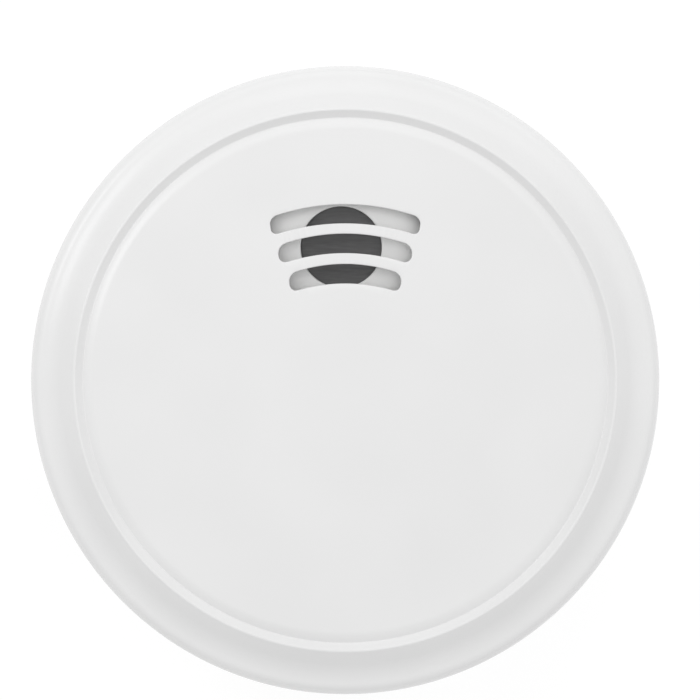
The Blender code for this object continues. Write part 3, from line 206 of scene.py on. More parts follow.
# Camera and light
VIEW_CENTRE = (0.84 * MM, 5.27 * MM)
VIEW_WIDTH = 122.6 * MM
CAMERA_DISTANCE = 2.5
FLOOR_REACH = 10.0
FLOOR_GLOW = 0.87
TENT_LIGHT = 0.56
SOFT_PATCHES = (  # bearing and height in degrees, tightness, strength
    (0.0, 90.0, 3.0, 0.34),
    (0.0, 40.0, 10.0, 0.39),
    (45.0, 15.0, 10.0, 0.18),
    (60.0, 40.0, 10.0, 0.23),
    (90.0, 40.0, 10.0, 0.15),
    (120.0, 40.0, 10.0, 0.21),
    (150.0, 40.0, 10.0, 0.31),
    (180.0, 40.0, 10.0, 0.09),
    (315.0, 40.0, 10.0, 0.13),
    (30.0, 55.0, 50.0, 0.14),
    (135.0, 54.0, 50.0, 0.13),
    (158.0, 54.0, 50.0, 0.13),
)
KEY_PLACE, KEY_SIZE, KEY_POWER = (-0.27, 0.16, 0.40), 0.18, 0.21
TOP_PLACE, TOP_SIZE, TOP_POWER = (0.04, 0.26, 0.30), 0.35, 0.17

# Materials
NOISE_LOW, NOISE_HIGH = 0.3, 0.7  # the part of its range that noise mostly fills

# Inner pieces
PIECE_EDGE = 0.1 * MM
THIN_EDGE = 0.03 * MM
FLAT_DEG = 0.5  # faces that meet at less than this become one
SCREEN_PITCH = 0.95 * MM
SCREEN_WIRE = 0.25 * MM
CELL_BUTTON_RADIUS = 3.2 * MM
CELL_BUTTON_LENGTH = 1.0 * MM
CELL_ROUND = 0.7 * MM
CELL_FOLD = 2.0 * MM
CELL_SKIN = 0.15 * MM
CELL_FOLD_EDGE = 0.05 * MM
CELL_STEP = 0.6 * MM

# Worked out
HOUSING_INNER = HOUSING_RADIUS - HOUSING_WALL
FLOOR_TOP = HOUSING_BOTTOM + HOUSING_FLOOR
SHOULDER_TOP = BAND_TOP - BAND_HEIGHT
SKIRT_BOTTOM = BAND_TOP - SKIRT_OVERLAP
SKIRT_INNER = COVER_RADIUS - COVER_WALL
BAND_RADIUS = SKIRT_INNER - BAND_CLEARANCE
BAND_INNER = BAND_RADIUS - BAND_WALL
CREST_HEIGHT = COVER_TOP - CREST_DROP
CREST_RADIUS = COVER_RADIUS - CREST_INSET
GROOVE_HEIGHT = CREST_HEIGHT - GROOVE_DEPTH
GROOVE_RADIUS = CREST_RADIUS - CREST_WIDTH - GROOVE_WIDTH
DISC_EDGE_RADIUS = GROOVE_RADIUS - DISC_ROUND
DISC_EDGE_HEIGHT = GROOVE_HEIGHT + DISC_EDGE_RISE
SPRING_CIRCLE = BAND_INNER - SPRING_SEAT_RADIUS - SNAP_CLEARANCE
ON_BOARD = BOARD_BOX[1].z + GAP


# ---------------------------------------------------------------- mesh tools


def polar(radius, degrees, z=0.0):
    angle = math.radians(degrees)
    return Vector((radius * math.cos(angle), radius * math.sin(angle), z))


def arc(centre, radius, start, end, steps):
    turns = [math.radians(start + (end - start) * i / steps) for i in range(steps + 1)]
    return [(centre[0] + radius * math.cos(t), centre[1] + radius * math.sin(t)) for t in turns]


def rounded(corners, steps=4):
    """A closed outline from corners of (x, y) or (x, y, fillet radius), with its fillets as arcs."""
    points = []
    for index, corner in enumerate(corners):
        here = Vector(corner[:2])
        radius = corner[2] if len(corner) > 2 else 0.0
        if radius <= 0.0:
            points.append(tuple(here))
            continue
        back = Vector(corners[index - 1][:2]) - here
        on = Vector(corners[(index + 1) % len(corners)][:2]) - here
        half = back.angle(on) / 2
        reach = min(radius / math.tan(half), 0.49 * back.length, 0.49 * on.length)
        radius = reach * math.tan(half)
        first = here + back.normalized() * reach
        last = here + on.normalized() * reach
        centre = here + (back.normalized() + on.normalized()).normalized() * radius / math.sin(half)
        start = first - centre
        sweep = start.angle_signed(last - centre)
        for step in range(steps + 1):
            turn = Matrix.Rotation(-sweep * step / steps, 2)
            points.append(tuple(centre + turn @ start))
    return points


def lathe(outline, steps=WHOLE_STEPS):
    """A bmesh of a closed outline of (radius, height) turned about Z."""
    shape = bmesh.new()
    rings = []
    for radius, height in outline:
        if radius < WELD:
            rings.append([shape.verts.new((0.0, 0.0, height))])
        else:
            turn = 360.0 / steps
            rings.append([shape.verts.new(polar(radius, turn * i, height)) for i in range(steps)])
    for lower, upper in zip(rings, rings[1:] + rings[:1]):
        for i in range(steps):
            j = (i + 1) % steps
            corners = [lower[i % len(lower)], lower[j % len(lower)],
                       upper[j % len(upper)], upper[i % len(upper)]]
            unique = list(dict.fromkeys(corners))
            if len(unique) > 2:
                shape.faces.new(unique)
    return shape


def stack(outlines):
    """A closed bmesh through a list of rings of points with the same count, with flat ends."""
    shape = bmesh.new()
    rings = [[shape.verts.new(point) for point in ring] for ring in outlines]
    for lower, upper in zip(rings, rings[1:]):
        for i in range(len(lower)):
            j = (i + 1) % len(lower)
            shape.faces.new((lower[i], lower[j], upper[j], upper[i]))
    ends = [shape.faces.new(rings[0]), shape.faces.new(rings[-1])]
    shape.normal_update()
    bmesh.ops.triangulate(shape, faces=ends)
    return shape


def prism(outline, bottom, top):
    return stack([[(x, y, z) for x, y in outline] for z in (bottom, top)])


def moved(shape, place=(0.0, 0.0, 0.0), turn_deg=0.0):
    matrix = Matrix.Translation(place) @ Matrix.Rotation(math.radians(turn_deg), 4, "Z")
    bmesh.ops.transform(shape, matrix=matrix, verts=shape.verts)
    return shape


def upright(shape):
    """Stands up an outline drawn in X and Y, so that it is in X and Z."""
    stand = Matrix.Rotation(math.radians(90.0), 4, "X")
    bmesh.ops.transform(shape, matrix=stand, verts=shape.verts)
    return shape


def piece(name, shape, look):
    """A named object from a bmesh, facing out, with one material."""
    bmesh.ops.recalc_face_normals(shape, faces=shape.faces)
    mesh = bpy.data.meshes.new(name)
    shape.to_mesh(mesh)
    shape.free()
    obj = bpy.data.objects.new(name, mesh)
    bpy.context.scene.collection.objects.link(obj)
    if look:
        mesh.materials.append(look)
    return obj


def together(shapes):
    whole = bmesh.new()
    for shape in shapes:
        mesh = bpy.data.meshes.new("piece")
        shape.to_mesh(mesh)
        shape.free()
        whole.from_mesh(mesh)
        bpy.data.meshes.remove(mesh)
    return whole


def boolean(obj, operation, shapes):
    """Joins the shapes to the object's mesh, or cuts them from it, at once."""
    tool = piece("tool", together(shapes), None)
    modifier = obj.modifiers.new("cut", "BOOLEAN")
    modifier.operation = operation
    modifier.object = tool
    graph = bpy.context.evaluated_depsgraph_get()
    result = bpy.data.meshes.new_from_object(obj.evaluated_get(graph))
    obj.modifiers.clear()
    old = obj.data
    obj.data = result
    bpy.data.meshes.remove(old)
    tool_mesh = tool.data
    bpy.data.objects.remove(tool)
    bpy.data.meshes.remove(tool_mesh)


def finished(obj, body, slot, *nodes, sharp_deg=32.0):
    """Smooth shading that keeps real edges, the body that carries the piece, and what it replaces."""
    obj.data.shade_smooth()
    obj.data.set_sharp_from_angle(angle=math.radians(sharp_deg))
    weighted = obj.modifiers.new("even_shading", "WEIGHTED_NORMAL")
    weighted.keep_sharp = True
    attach(obj, body)
    if nodes:
        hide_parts(*nodes)
    return obj


# ---------------------------------------------------------------- materials


class Nodes:
    """A short way to write a node material."""

    def __init__(self, name):
        self.material = bpy.data.materials.new(name)
        self.material.use_nodes = True
        self.tree = self.material.node_tree
        self.shader = self.tree.nodes["Principled BSDF"]
        self.place = self.tree.nodes.new("ShaderNodeTexCoord").outputs["Object"]

    def feed(self, socket, value):
        if isinstance(value, bpy.types.NodeSocket):
            self.tree.links.new(value, socket)
        else:
            socket.default_value = value

    def add(self, kind, **inputs):
        node = self.tree.nodes.new(kind)
        for key, value in inputs.items():
            self.feed(node.inputs[key.replace("_", " ")], value)
        return node

    def noise(self, size, detail=3.0, roughness=0.5, place=None):
        node = self.add("ShaderNodeTexNoise", Vector=place or self.place, Scale=1.0 / size,
                        Detail=detail, Roughness=roughness)
        return node.outputs["Fac"]

    def stretched(self, scale):
        node = self.add("ShaderNodeMapping", Vector=self.place, Scale=scale)
        return node.outputs["Vector"]

    def ramp(self, fac, low, high, start=NOISE_LOW, end=NOISE_HIGH):
        node = self.tree.nodes.new("ShaderNodeValToRGB")
        node.color_ramp.elements[0].position = start
        node.color_ramp.elements[1].position = end
        node.color_ramp.elements[0].color = (*low, 1.0)
        node.color_ramp.elements[1].color = (*high, 1.0)
        self.tree.links.new(fac, node.inputs["Fac"])
        return node.outputs["Color"]

    def spread(self, fac, low, high, start=NOISE_LOW, end=NOISE_HIGH):
        node = self.tree.nodes.new("ShaderNodeMapRange")
        self.tree.links.new(fac, node.inputs["Value"])
        node.inputs["From Min"].default_value = start
        node.inputs["From Max"].default_value = end
        node.inputs["To Min"].default_value = low
        node.inputs["To Max"].default_value = high
        return node.outputs["Result"]

    def math(self, operation, first, second):
        node = self.tree.nodes.new("ShaderNodeMath")
        node.operation = operation
        for socket, value in zip(node.inputs, (first, second)):
            self.feed(socket, value)
        return node.outputs["Value"]

    def bump(self, height, depth, strength=1.0, under=None):
        node = self.add("ShaderNodeBump", Height=height, Distance=depth, Strength=strength)
        if under:
            self.tree.links.new(under, node.inputs["Normal"])
        return node.outputs["Normal"]

    def set(self, **inputs):
        for key, value in inputs.items():
            self.feed(self.shader.inputs[key.replace("_", " ")], value)
        return self.material


def scaled(colour, factor):
    return tuple(min(1.0, channel * factor) for channel in colour)


def moulded_plastic(name, colour, roughness, grain=0.35 * MM, depth=0.006 * MM, mottle=0.012):
    """Moulded plastic: a fine spark texture, faint flow mottling and uneven gloss."""
    n = Nodes(name)
    flow = n.noise(18.0 * MM, 2.0, 0.4)
    fine = n.noise(grain, 4.0, 0.6)
    patches = n.noise(4.0 * MM, 3.0, 0.55)
    gloss = n.spread(patches, roughness * 0.93, roughness * 1.07)
    waviness = n.bump(n.noise(12.0 * MM, 1.0, 0.3), depth)
    return n.set(
        Base_Color=n.ramp(flow, scaled(colour, 1.0 - mottle), scaled(colour, 1.0 + mottle)),
        Roughness=gloss,
        Normal=n.bump(fine, depth, 1.0, waviness),
    )


def metal(name, colour, roughness, grain=(1.0, 1.0, 12.0), size=0.5 * MM):
    """Drawn or plated metal with fine lines along its length and stained patches."""
    n = Nodes(name)
    lines = n.noise(size, 4.0, 0.6, n.stretched(grain))
    stain = n.noise(3.0 * MM, 3.0, 0.6)
    return n.set(
        Base_Color=n.ramp(stain, scaled(colour, 0.86), scaled(colour, 1.06)),
        Metallic=1.0,
        Roughness=n.spread(lines, roughness * 0.8, roughness * 1.25),
        Normal=n.bump(lines, 0.004 * MM),
    )


def cloth_look(colour):
    """Dark acoustic cloth: long threads across, with thick and thin places."""
    n = Nodes("cloth_look")
    threads = n.noise(0.45 * MM, 3.0, 0.55, n.stretched((0.12, 1.0, 1.0)))
    fuzz = n.noise(0.15 * MM, 3.0, 0.6)
    mixed = n.math("ADD", n.math("MULTIPLY", threads, 0.8), n.math("MULTIPLY", fuzz, 0.2))
    return n.set(
        Base_Color=n.ramp(mixed, scaled(colour, 0.84), scaled(colour, 1.15)),
        Roughness=n.spread(fuzz, 0.8, 0.95),
        Normal=n.bump(mixed, 0.04 * MM),
    )


def clear_plastic(name, colour, transmission=0.9, roughness=0.08):
    n = Nodes(name)
    haze = n.noise(1.5 * MM, 3.0, 0.5)
    return n.set(
        Base_Color=n.ramp(haze, scaled(colour, 0.94), colour),
        Roughness=n.spread(haze, roughness * 0.7, roughness * 1.4),
        Transmission_Weight=transmission,
        IOR=1.49,
        Normal=n.bump(haze, 0.003 * MM),
    )


def board_look():
    """Green solder mask over a copper pour that is cut into islands, with a faint glass weave."""
    n = Nodes("board_look")
    islands = n.tree.nodes.new("ShaderNodeTexVoronoi")
    islands.feature = "DISTANCE_TO_EDGE"
    n.tree.links.new(n.place, islands.inputs["Vector"])
    islands.inputs["Scale"].default_value = 1.0 / (5.0 * MM)
    islands.inputs["Randomness"].default_value = 0.8
    pour = n.spread(islands.outputs["Distance"], 0.0, 1.0, 0.035, 0.05)
    weave = n.noise(0.6 * MM, 2.0, 0.5)
    edge = n.bump(pour, 0.03 * MM)
    return n.set(
        Base_Color=n.ramp(pour, (0.008, 0.075, 0.025), (0.018, 0.17, 0.05), 0.2, 0.8),
        Roughness=n.spread(weave, 0.28, 0.4),
        Normal=n.bump(weave, 0.004 * MM, 1.0, edge),
    )


def winding(name, colour, pitch, roughness=0.3):
    """Enamelled wire, wound in close turns up Z, with painted shade darkening the grooves between the
    turns.
    """
    n = Nodes(name)
    axes = n.add("ShaderNodeSeparateXYZ", Vector=n.place).outputs
    turns = n.math("ABSOLUTE", n.math("SINE", n.math("MULTIPLY", axes["Z"], math.pi / pitch), 0.0), 0.0)
    return n.set(
        # Painted shade: the base colour drops to 35 % of the wire's colour in the grooves between the
        # turns.
        Base_Color=n.ramp(turns, scaled(colour, 0.35), colour, 0.0, 0.6),
        Metallic=0.9,
        Roughness=n.spread(n.noise(0.4 * MM), roughness * 0.9, roughness * 1.2),
        Normal=n.bump(turns, 0.08 * MM),
    )


# ---------------------------------------------------------------- front cover


def dome_height(radius):
    rise = COVER_TOP - DISC_EDGE_HEIGHT
    return DISC_EDGE_HEIGHT + rise * (1.0 - (radius / DISC_EDGE_RADIUS) ** 2)


def flare():
    """From the rounded edge to the foot of the crest: a hollow arc, then a straight cone."""
    start = math.radians(FLARE_SLOPE_DEG)
    outer = COVER_RADIUS - EDGE_ROUND * (1.0 - math.sin(start))
    cone_outer = COVER_RADIUS - FLARE_CONE
    end = math.radians(CONE_SLOPE_DEG)
    radius = (outer - cone_outer) / (math.sin(end) - math.sin(start))
    foot = CREST_HEIGHT - (cone_outer - CREST_RADIUS) * math.tan(end)
    steps = 14
    slopes = [start + (end - start) * i / steps for i in range(steps + 1)]
    return [
        (
            cone_outer + radius * (math.sin(end) - math.sin(slope)),
            foot - radius * (math.cos(slope) - math.cos(end)),
        )
        for slope in slopes
    ]


def cover_outline():
    hollow = flare()
    edge_radius, edge_height = hollow[0]
    drop = EDGE_ROUND * math.cos(math.radians(FLARE_SLOPE_DEG))
    edge_centre = (COVER_RADIUS - EDGE_ROUND, edge_height - drop)
    edge = arc(edge_centre, EDGE_ROUND, 0.0, 90.0 - FLARE_SLOPE_DEG, 12)[:-1]
    steps = 8
    disc_edge = [
        (
            GROOVE_RADIUS - DISC_ROUND * i / steps,
            GROOVE_HEIGHT + DISC_EDGE_RISE * (1.0 - (1.0 - i / steps) ** DISC_EDGE_POWER),
        )
        for i in range(1, steps)
    ]
    dome_steps = 22
    radii = [DISC_EDGE_RADIUS * (1.0 - i / dome_steps) for i in range(dome_steps + 1)]
    top = [(r, dome_height(r)) for r in radii]
    under = [(r, dome_height(r) - COVER_WALL) for r in reversed(radii[::2])]
    inner_height = edge_height - COVER_WALL
    corners = [
        (SKIRT_INNER, SKIRT_BOTTOM, 0.3 * MM),
        (COVER_RADIUS, SKIRT_BOTTOM, 0.5 * MM),
        *edge,
        *hollow,
        (CREST_RADIUS, CREST_HEIGHT, 0.35 * MM),
        (CREST_RADIUS - CREST_WIDTH, CREST_HEIGHT, 0.3 * MM),
        (GROOVE_RADIUS, GROOVE_HEIGHT, 0.3 * MM),
        *disc_edge,
        *top,
        *under,
        (CREST_RADIUS, GROOVE_HEIGHT - COVER_WALL),
        (SKIRT_INNER - EDGE_ROUND / 3, inner_height, 0.5 * MM),
        (SKIRT_INNER, inner_height - EDGE_ROUND / 3, 0.5 * MM),
    ]
    return rounded(corners, 5)


def arched_outline(radius, half_deg, width, corner, spread):
    """The outline of a slot on its arch, grown by spread on every side: a rounded bar, then bent."""
    half = width / 2 - SLOT_FILLET / 2 + spread
    reach = radius * math.radians(half_deg) + half
    bar = rounded([(-reach, -half, corner + spread), (reach, -half, corner + spread),
                   (reach, half, corner + spread), (-reach, half, corner + spread)], 8)
    outline = []
    for (x, y), (next_x, next_y) in zip(bar, bar[1:] + bar[:1]):
        steps = 24 if abs(next_x - x) > reach else 1
        outline += [(x + (next_x - x) * i / steps, y + (next_y - y) * i / steps) for i in range(steps)]
    bent = []
    for x, y in outline:
        turn = x / radius
        bent.append(((radius + SLOT_END_LEAN * y) * math.sin(turn),
                     (radius + y) * math.cos(turn) + SLOT_ARCH_CENTRE_Y))
    return bent


def mouth_levels(fillet, depth):
    """(spread, height) down a hole whose mouth at height 0 has a rounded edge."""
    turns = [math.radians(80.0 * i / 6) for i in range(7)]
    edge = [(fillet * (1.0 - math.cos(t)), fillet * (math.sin(t) - 1.0)) for t in turns]
    return [(0.0, -depth), *edge, (2.2 * fillet, 0.5 * fillet)]


def slot_cutter(radius, half_deg, width, corner):
    rings = []
    for spread, height in mouth_levels(SLOT_FILLET, 2.0 * COVER_WALL):
        outline = arched_outline(radius, half_deg, width, corner, spread)
        rings.append([(x, y, dome_height(math.hypot(x, y)) + height) for x, y in outline])
    return stack(rings)


def snap_hook(angle):
    outer = BAND_INNER - SNAP_CLEARANCE
    inner = outer - SNAP_STEM
    barb_outer = HOUSING_INNER - SNAP_CLEARANCE
    barb_top = SHOULDER_TOP - SHOULDER - GAP
    bottom = barb_top - SNAP_BARB_HEIGHT
    top = GROOVE_HEIGHT - COVER_WALL / 2
    small = 0.3 * MM
    outline = rounded([
        (inner, bottom, small), (outer, bottom, small),
        (barb_outer, barb_top - SNAP_BARB_HEIGHT / 3, small), (barb_outer, barb_top, small / 2),
        (outer, barb_top), (outer, top), (inner, top),
    ], 3)
    return moved(upright(prism(outline, -SNAP_WIDTH / 2, SNAP_WIDTH / 2)), turn_deg=angle)


def spring_peg(angle):
    seat = GROOVE_HEIGHT - COVER_WALL - SPRING_PEG_LENGTH
    top = GROOVE_HEIGHT - COVER_WALL / 2
    outline = rounded([
        (0.0, seat - SPRING_PIN_LENGTH), (SPRING_PIN_RADIUS, seat - SPRING_PIN_LENGTH, 0.3 * MM),
        (SPRING_PIN_RADIUS, seat), (SPRING_SEAT_RADIUS, seat, 0.15 * MM),
        (SPRING_SEAT_RADIUS, top), (0.0, top),
    ], 3)
    return moved(lathe(outline, SMALL_STEPS), polar(SPRING_CIRCLE, angle))


def make_cover(look):
    cover = piece("cover_shell", lathe(cover_outline()), look)
    slots = zip(SLOT_RADII, SLOT_HALF_DEG, SLOT_WIDTHS, SLOT_CORNERS)
    boolean(cover, "DIFFERENCE", [slot_cutter(*slot) for slot in slots])
    boolean(cover, "UNION", [snap_hook(angle) for angle in SNAP_ANGLES])
    plunger_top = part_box("test_switch_plunger")[1].z
    boss_top = dome_height(0.0) - COVER_WALL / 2
    boss = rounded([(0.0, plunger_top + GAP), (TEST_BOSS_RADIUS, plunger_top + GAP, 0.3 * MM),
                    (TEST_BOSS_RADIUS, boss_top), (0.0, boss_top)], 3)
    pegs = [spring_peg(angle) for angle in SPRING_ANGLES]
    boolean(cover, "UNION", [lathe(boss, SMALL_STEPS), *pegs])
    return finished(cover, "cover", "white_plastic", "front_cover")


# ---------------------------------------------------------------- rear housing


def sector(inner, outer, start, end, bottom, top, corner=0.0):
    """A prism between two radii and two angles, with rounded corners where asked."""
    steps = max(2, round(end - start))
    outline = arc((0.0, 0.0), outer, start, end, steps) + arc((0.0, 0.0), inner, end, start, steps)
    if corner:
        ends = {0, steps, steps + 1, 2 * steps + 1}
        outline = rounded([(*p, corner if i in ends else 0.0) for i, p in enumerate(outline)], 4)
    return prism(outline, bottom, top)


def keyhole(angle):
    wide = HOOK_LIP / 2 + SLIDE_CLEARANCE
    narrow = HOOK_POST / 2 + SLIDE_CLEARANCE
    spare = KEYHOLE_CLEARANCE_DEG
    entry_start = angle - TWIST_DEG - HOOK_HALF_DEG - spare
    entry_end = angle - TWIST_DEG + HOOK_HALF_DEG + spare
    lock_end = angle + HOOK_HALF_DEG + spare
    below, above = HOUSING_BOTTOM - HOUSING_FLOOR, FLOOR_TOP + HOUSING_FLOOR / 2
    entry = sector(HOOK_RADIUS - wide, HOOK_RADIUS + wide, entry_start, entry_end, below, above)
    lock = sector(HOOK_RADIUS - narrow, HOOK_RADIUS + narrow, entry_end - spare / 2, lock_end,
                  below, above)
    return entry, lock


def vent_cutter(index):
    """A window through the vent band, its outer edge rounded."""
    angle = (index + 0.5) * 360.0 / VENT_COUNT
    middle = SHOULDER_TOP + VENT_BOTTOM + VENT_HEIGHT / 2
    rings = []
    for spread, out in mouth_levels(VENT_FILLET, 3.0 * BAND_WALL):
        x, z = VENT_WIDTH / 2 + spread, VENT_HEIGHT / 2 + spread
        corner = VENT_CORNER + spread
        outline = rounded([(-x, -z, corner), (x, -z, corner), (x, z, corner), (-x, z, corner)], 5)
        rings.append([(BAND_RADIUS + out, u, middle + v) for u, v in outline])
    return moved(stack(rings), turn_deg=angle)


def housing_outline():
    return rounded([
        (0.0, HOUSING_BOTTOM),
        (HOUSING_RADIUS, HOUSING_BOTTOM, HOUSING_ROUND),
        (HOUSING_RADIUS, SHOULDER_TOP, HOUSING_ROUND / 2),
        (BAND_RADIUS, SHOULDER_TOP, 0.3 * MM),
        (BAND_RADIUS, BAND_TOP, 0.3 * MM),
        (BAND_INNER, BAND_TOP, 0.3 * MM),
        (BAND_INNER, SHOULDER_TOP - SHOULDER, 0.2 * MM),
        (HOUSING_INNER, SHOULDER_TOP - SHOULDER, 0.2 * MM),
        (HOUSING_INNER, FLOOR_TOP, 0.5 * MM),
        (0.0, FLOOR_TOP),
    ], 8)


def spring_post(angle, sunk):
    seat = FLOOR_TOP + SPRING_POST_HEIGHT
    outline = rounded([
        (0.0, sunk), (SPRING_SEAT_RADIUS, sunk), (SPRING_SEAT_RADIUS, seat, 0.15 * MM),
        (SPRING_PIN_RADIUS, seat), (SPRING_PIN_RADIUS, seat + SPRING_PIN_LENGTH, 0.3 * MM),
        (0.0, seat + SPRING_PIN_LENGTH),
    ], 3)
    return moved(lathe(outline, SMALL_STEPS), polar(SPRING_CIRCLE, angle))


def board_boss(angle, sunk):
    top = FLOOR_TOP + BOSS_HEIGHT
    floor = FLOOR_TOP + GAP
    outline = rounded([
        (0.0, sunk), (BOSS_RADIUS, sunk), (BOSS_RADIUS, top, 0.2 * MM),
        (SCREW_PILOT, top, 0.2 * MM), (SCREW_PILOT, floor), (0.0, floor),
    ], 3)
    return moved(lathe(outline, SMALL_STEPS), polar(BOARD_SCREW_CIRCLE, angle))


def make_housing(look):
    housing = piece("housing_shell", lathe(housing_outline()), look)
    boolean(housing, "DIFFERENCE", [vent_cutter(index) for index in range(VENT_COUNT)])
    entries, locks = zip(*[keyhole(angle) for angle in HOOK_ANGLES])
    boolean(housing, "DIFFERENCE", entries)
    boolean(housing, "DIFFERENCE", locks)
    half = SLIDER_PEG + SLIDE_CLEARANCE
    spare = math.degrees(half / SLIDER_RADIUS)
    peg_slot = sector(SLIDER_RADIUS - half, SLIDER_RADIUS + half, SLIDER_ANGLE - TWIST_DEG - spare,
                      SLIDER_ANGLE + spare, HOUSING_BOTTOM - HOUSING_FLOOR, FLOOR_TOP + HOUSING_FLOOR)
    boolean(housing, "DIFFERENCE", [peg_slot])
    sunk = FLOOR_TOP - HOUSING_FLOOR / 2
    bosses = [board_boss(angle, sunk) for angle in BOARD_SCREW_ANGLES]
    posts = [spring_post(angle, sunk) for angle in SPRING_ANGLES]
    boolean(housing, "UNION", bosses + posts)
    boolean(housing, "UNION", cell_cradles(sunk))
    return finished(housing, "alarm", "white_plastic", "rear_housing")


def cell_cradles(sunk):
    low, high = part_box("lithium_cell")
    radius = (high.x - low.x) / 2
    centre = (low + high) / 2
    nest = radius + GAP
    reach = radius - CRADLE_INSET
    bottom, top = sunk - centre.z, FLOOR_TOP + CRADLE_HEIGHT - centre.z
    edge_deg = math.degrees(math.asin(top / nest))
    hollow = arc((0.0, 0.0), nest, edge_deg, -180.0 - edge_deg, 24)
    outline = [(-reach, bottom), (reach, bottom), (reach, top), *hollow, (-reach, top)]
    walls = []
    for y in CRADLE_PLACES:
        wall = upright(prism(outline, -CRADLE_WALL / 2, CRADLE_WALL / 2))
        walls.append(moved(wall, (centre.x, y, centre.z)))
    return walls


# ---------------------------------------------------------------- mounting base


def base_outline():
    collar_outer = BASE_OPENING_RADIUS + BASE_COLLAR_WALL
    rim_inner = BASE_RADIUS - BASE_RIM_WALL
    small = 0.4 * MM
    return rounded([
        (BASE_OPENING_RADIUS, 0.0, small),
        (BASE_RADIUS, 0.0, small),
        (BASE_RADIUS, BASE_RIM_HEIGHT, small),
        (rim_inner, BASE_RIM_HEIGHT, small),
        (rim_inner, BASE_PLATE, small),
        (collar_outer, BASE_PLATE, small),
        (collar_outer, BASE_COLLAR_HEIGHT, small),
        (BASE_OPENING_RADIUS, BASE_COLLAR_HEIGHT, small),
    ], 5)


def screw_slot(angle):
    """A slot through the plate, its edge rounded on the ceiling side."""
    rings = []
    for spread, out in mouth_levels(SCREW_SLOT_FILLET, 2.0 * BASE_PLATE):
        half = SCREW_SLOT_WIDTH / 2 + spread
        reach = (SCREW_SLOT_LENGTH - SCREW_SLOT_WIDTH) / 2
        outline = arc((reach, 0.0), half, -90.0, 90.0, 16) + arc((-reach, 0.0), half, 90.0, 270.0, 16)
        rings.append([(x, y, -out) for x, y in outline])
    return moved(stack(rings), polar(SCREW_SLOT_SPACING / 2, angle), angle)


def bayonet_hook(angle):
    lip_bottom = FLOOR_TOP + GAP
    start, end = angle - HOOK_HALF_DEG, angle + HOOK_HALF_DEG
    outer, inner = HOOK_RADIUS + HOOK_POST / 2, HOOK_RADIUS - HOOK_POST / 2
    post = sector(inner, outer, start, end, BASE_PLATE / 2, lip_bottom + HOOK_LIP_THICKNESS / 2)
    outer, inner = HOOK_RADIUS + HOOK_LIP / 2, HOOK_RADIUS - HOOK_LIP / 2
    lip = sector(inner, outer, start, end, lip_bottom, lip_bottom + HOOK_LIP_THICKNESS, 0.5 * MM)
    return post, lip


def block(size_x, size_y, bottom, top):
    x, y = size_x / 2, size_y / 2
    corner = 0.2 * MM
    outline = rounded([(-x, -y, corner), (x, -y, corner), (x, y, corner), (-x, y, corner)], 3)
    return prism(outline, bottom, top)


def make_base(look):
    base = piece("base_plate", lathe(base_outline()), look)
    boolean(base, "DIFFERENCE", [screw_slot(angle) for angle in SCREW_SLOT_ANGLES])
    posts, lips = zip(*[bayonet_hook(angle) for angle in HOOK_ANGLES])
    offset = SLIDER_PEG + GAP + FORK_FINGER / 2
    fingers = []
    for side in (-1.0, 1.0):
        finger = block(2 * SLIDER_PEG, FORK_FINGER, BASE_PLATE / 2, BASE_RIM_HEIGHT)
        turn = Matrix.Rotation(math.radians(SLIDER_ANGLE), 4, "Z")
        place = turn @ Vector((SLIDER_RADIUS, side * offset, 0.0))
        fingers.append(moved(finger, place, SLIDER_ANGLE))
    rib_inner = BASE_OPENING_RADIUS + BASE_COLLAR_WALL / 2
    rib_outer = BASE_RADIUS - BASE_RIM_WALL / 2
    ribs = []
    for angle in BASE_RIB_ANGLES:
        top = BASE_PLATE + BASE_RIB_HEIGHT
        rib = block(rib_outer - rib_inner, BASE_RIB_THICKNESS, BASE_PLATE / 2, top)
        ribs.append(moved(rib, polar((rib_inner + rib_outer) / 2, angle), angle))
    boolean(base, "UNION", [*posts, *fingers, *ribs])
    boolean(base, "UNION", lips)
    return finished(base, "base", "base_plastic", "mounting_base")


# ---------------------------------------------------------------- sounder


def horn_dome(mouth, base_radius, bottom, rise, steps):
    turns = [math.pi / 2 * i / steps for i in range(steps + 1)]
    across = [mouth + (base_radius - mouth) * max(math.cos(t), 0.0) ** HORN_FLATNESS for t in turns]
    return [(r, bottom + rise * math.sin(t) ** HORN_FLATNESS) for r, t in zip(across, turns)]


def make_horn(look):
    foot = HORN_TOP - HORN_DOME_HEIGHT
    bore = HORN_RADIUS - HORN_WALL
    ledge = ON_BOARD + HORN_LEDGE_HEIGHT
    outside = horn_dome(HORN_MOUTH + HORN_RIM, HORN_RADIUS, foot, HORN_DOME_HEIGHT, 20)
    inside = horn_dome(HORN_MOUTH, bore, foot, HORN_DOME_HEIGHT - HORN_WALL, 12)
    seat = MESH_BOX[0].z - CLOTH_GAP
    lip = [(HORN_MOUTH, seat), (HORN_MOUTH - HORN_SEAT, seat, 0.1 * MM),
           (HORN_MOUTH - HORN_SEAT, seat - HORN_SEAT / 2, 0.2 * MM), (HORN_MOUTH, seat - HORN_SEAT)]
    outline = rounded([
        (bore, ON_BOARD, 0.2 * MM), (HORN_RADIUS, ON_BOARD, 0.3 * MM),
        *outside[:-1], (HORN_MOUTH + HORN_RIM, HORN_TOP, 0.0), (HORN_MOUTH, HORN_TOP, 0.25 * MM),
        *lip,
        *[point for point in reversed(inside) if point[1] < seat - HORN_SEAT],
        (bore, ledge + HORN_LEDGE), (HORN_LEDGE_RADIUS, ledge + HORN_LEDGE, 0.2 * MM),
        (HORN_LEDGE_RADIUS, ledge, 0.2 * MM), (bore, ledge),
    ], 4)
    horn = piece("sounder_dome", lathe(outline, PART_STEPS * 2), look)
    horn.location = (*HORN_CENTRE, 0.0)
    return finished(horn, "alarm", "sounder_plastic", "horn_housing")


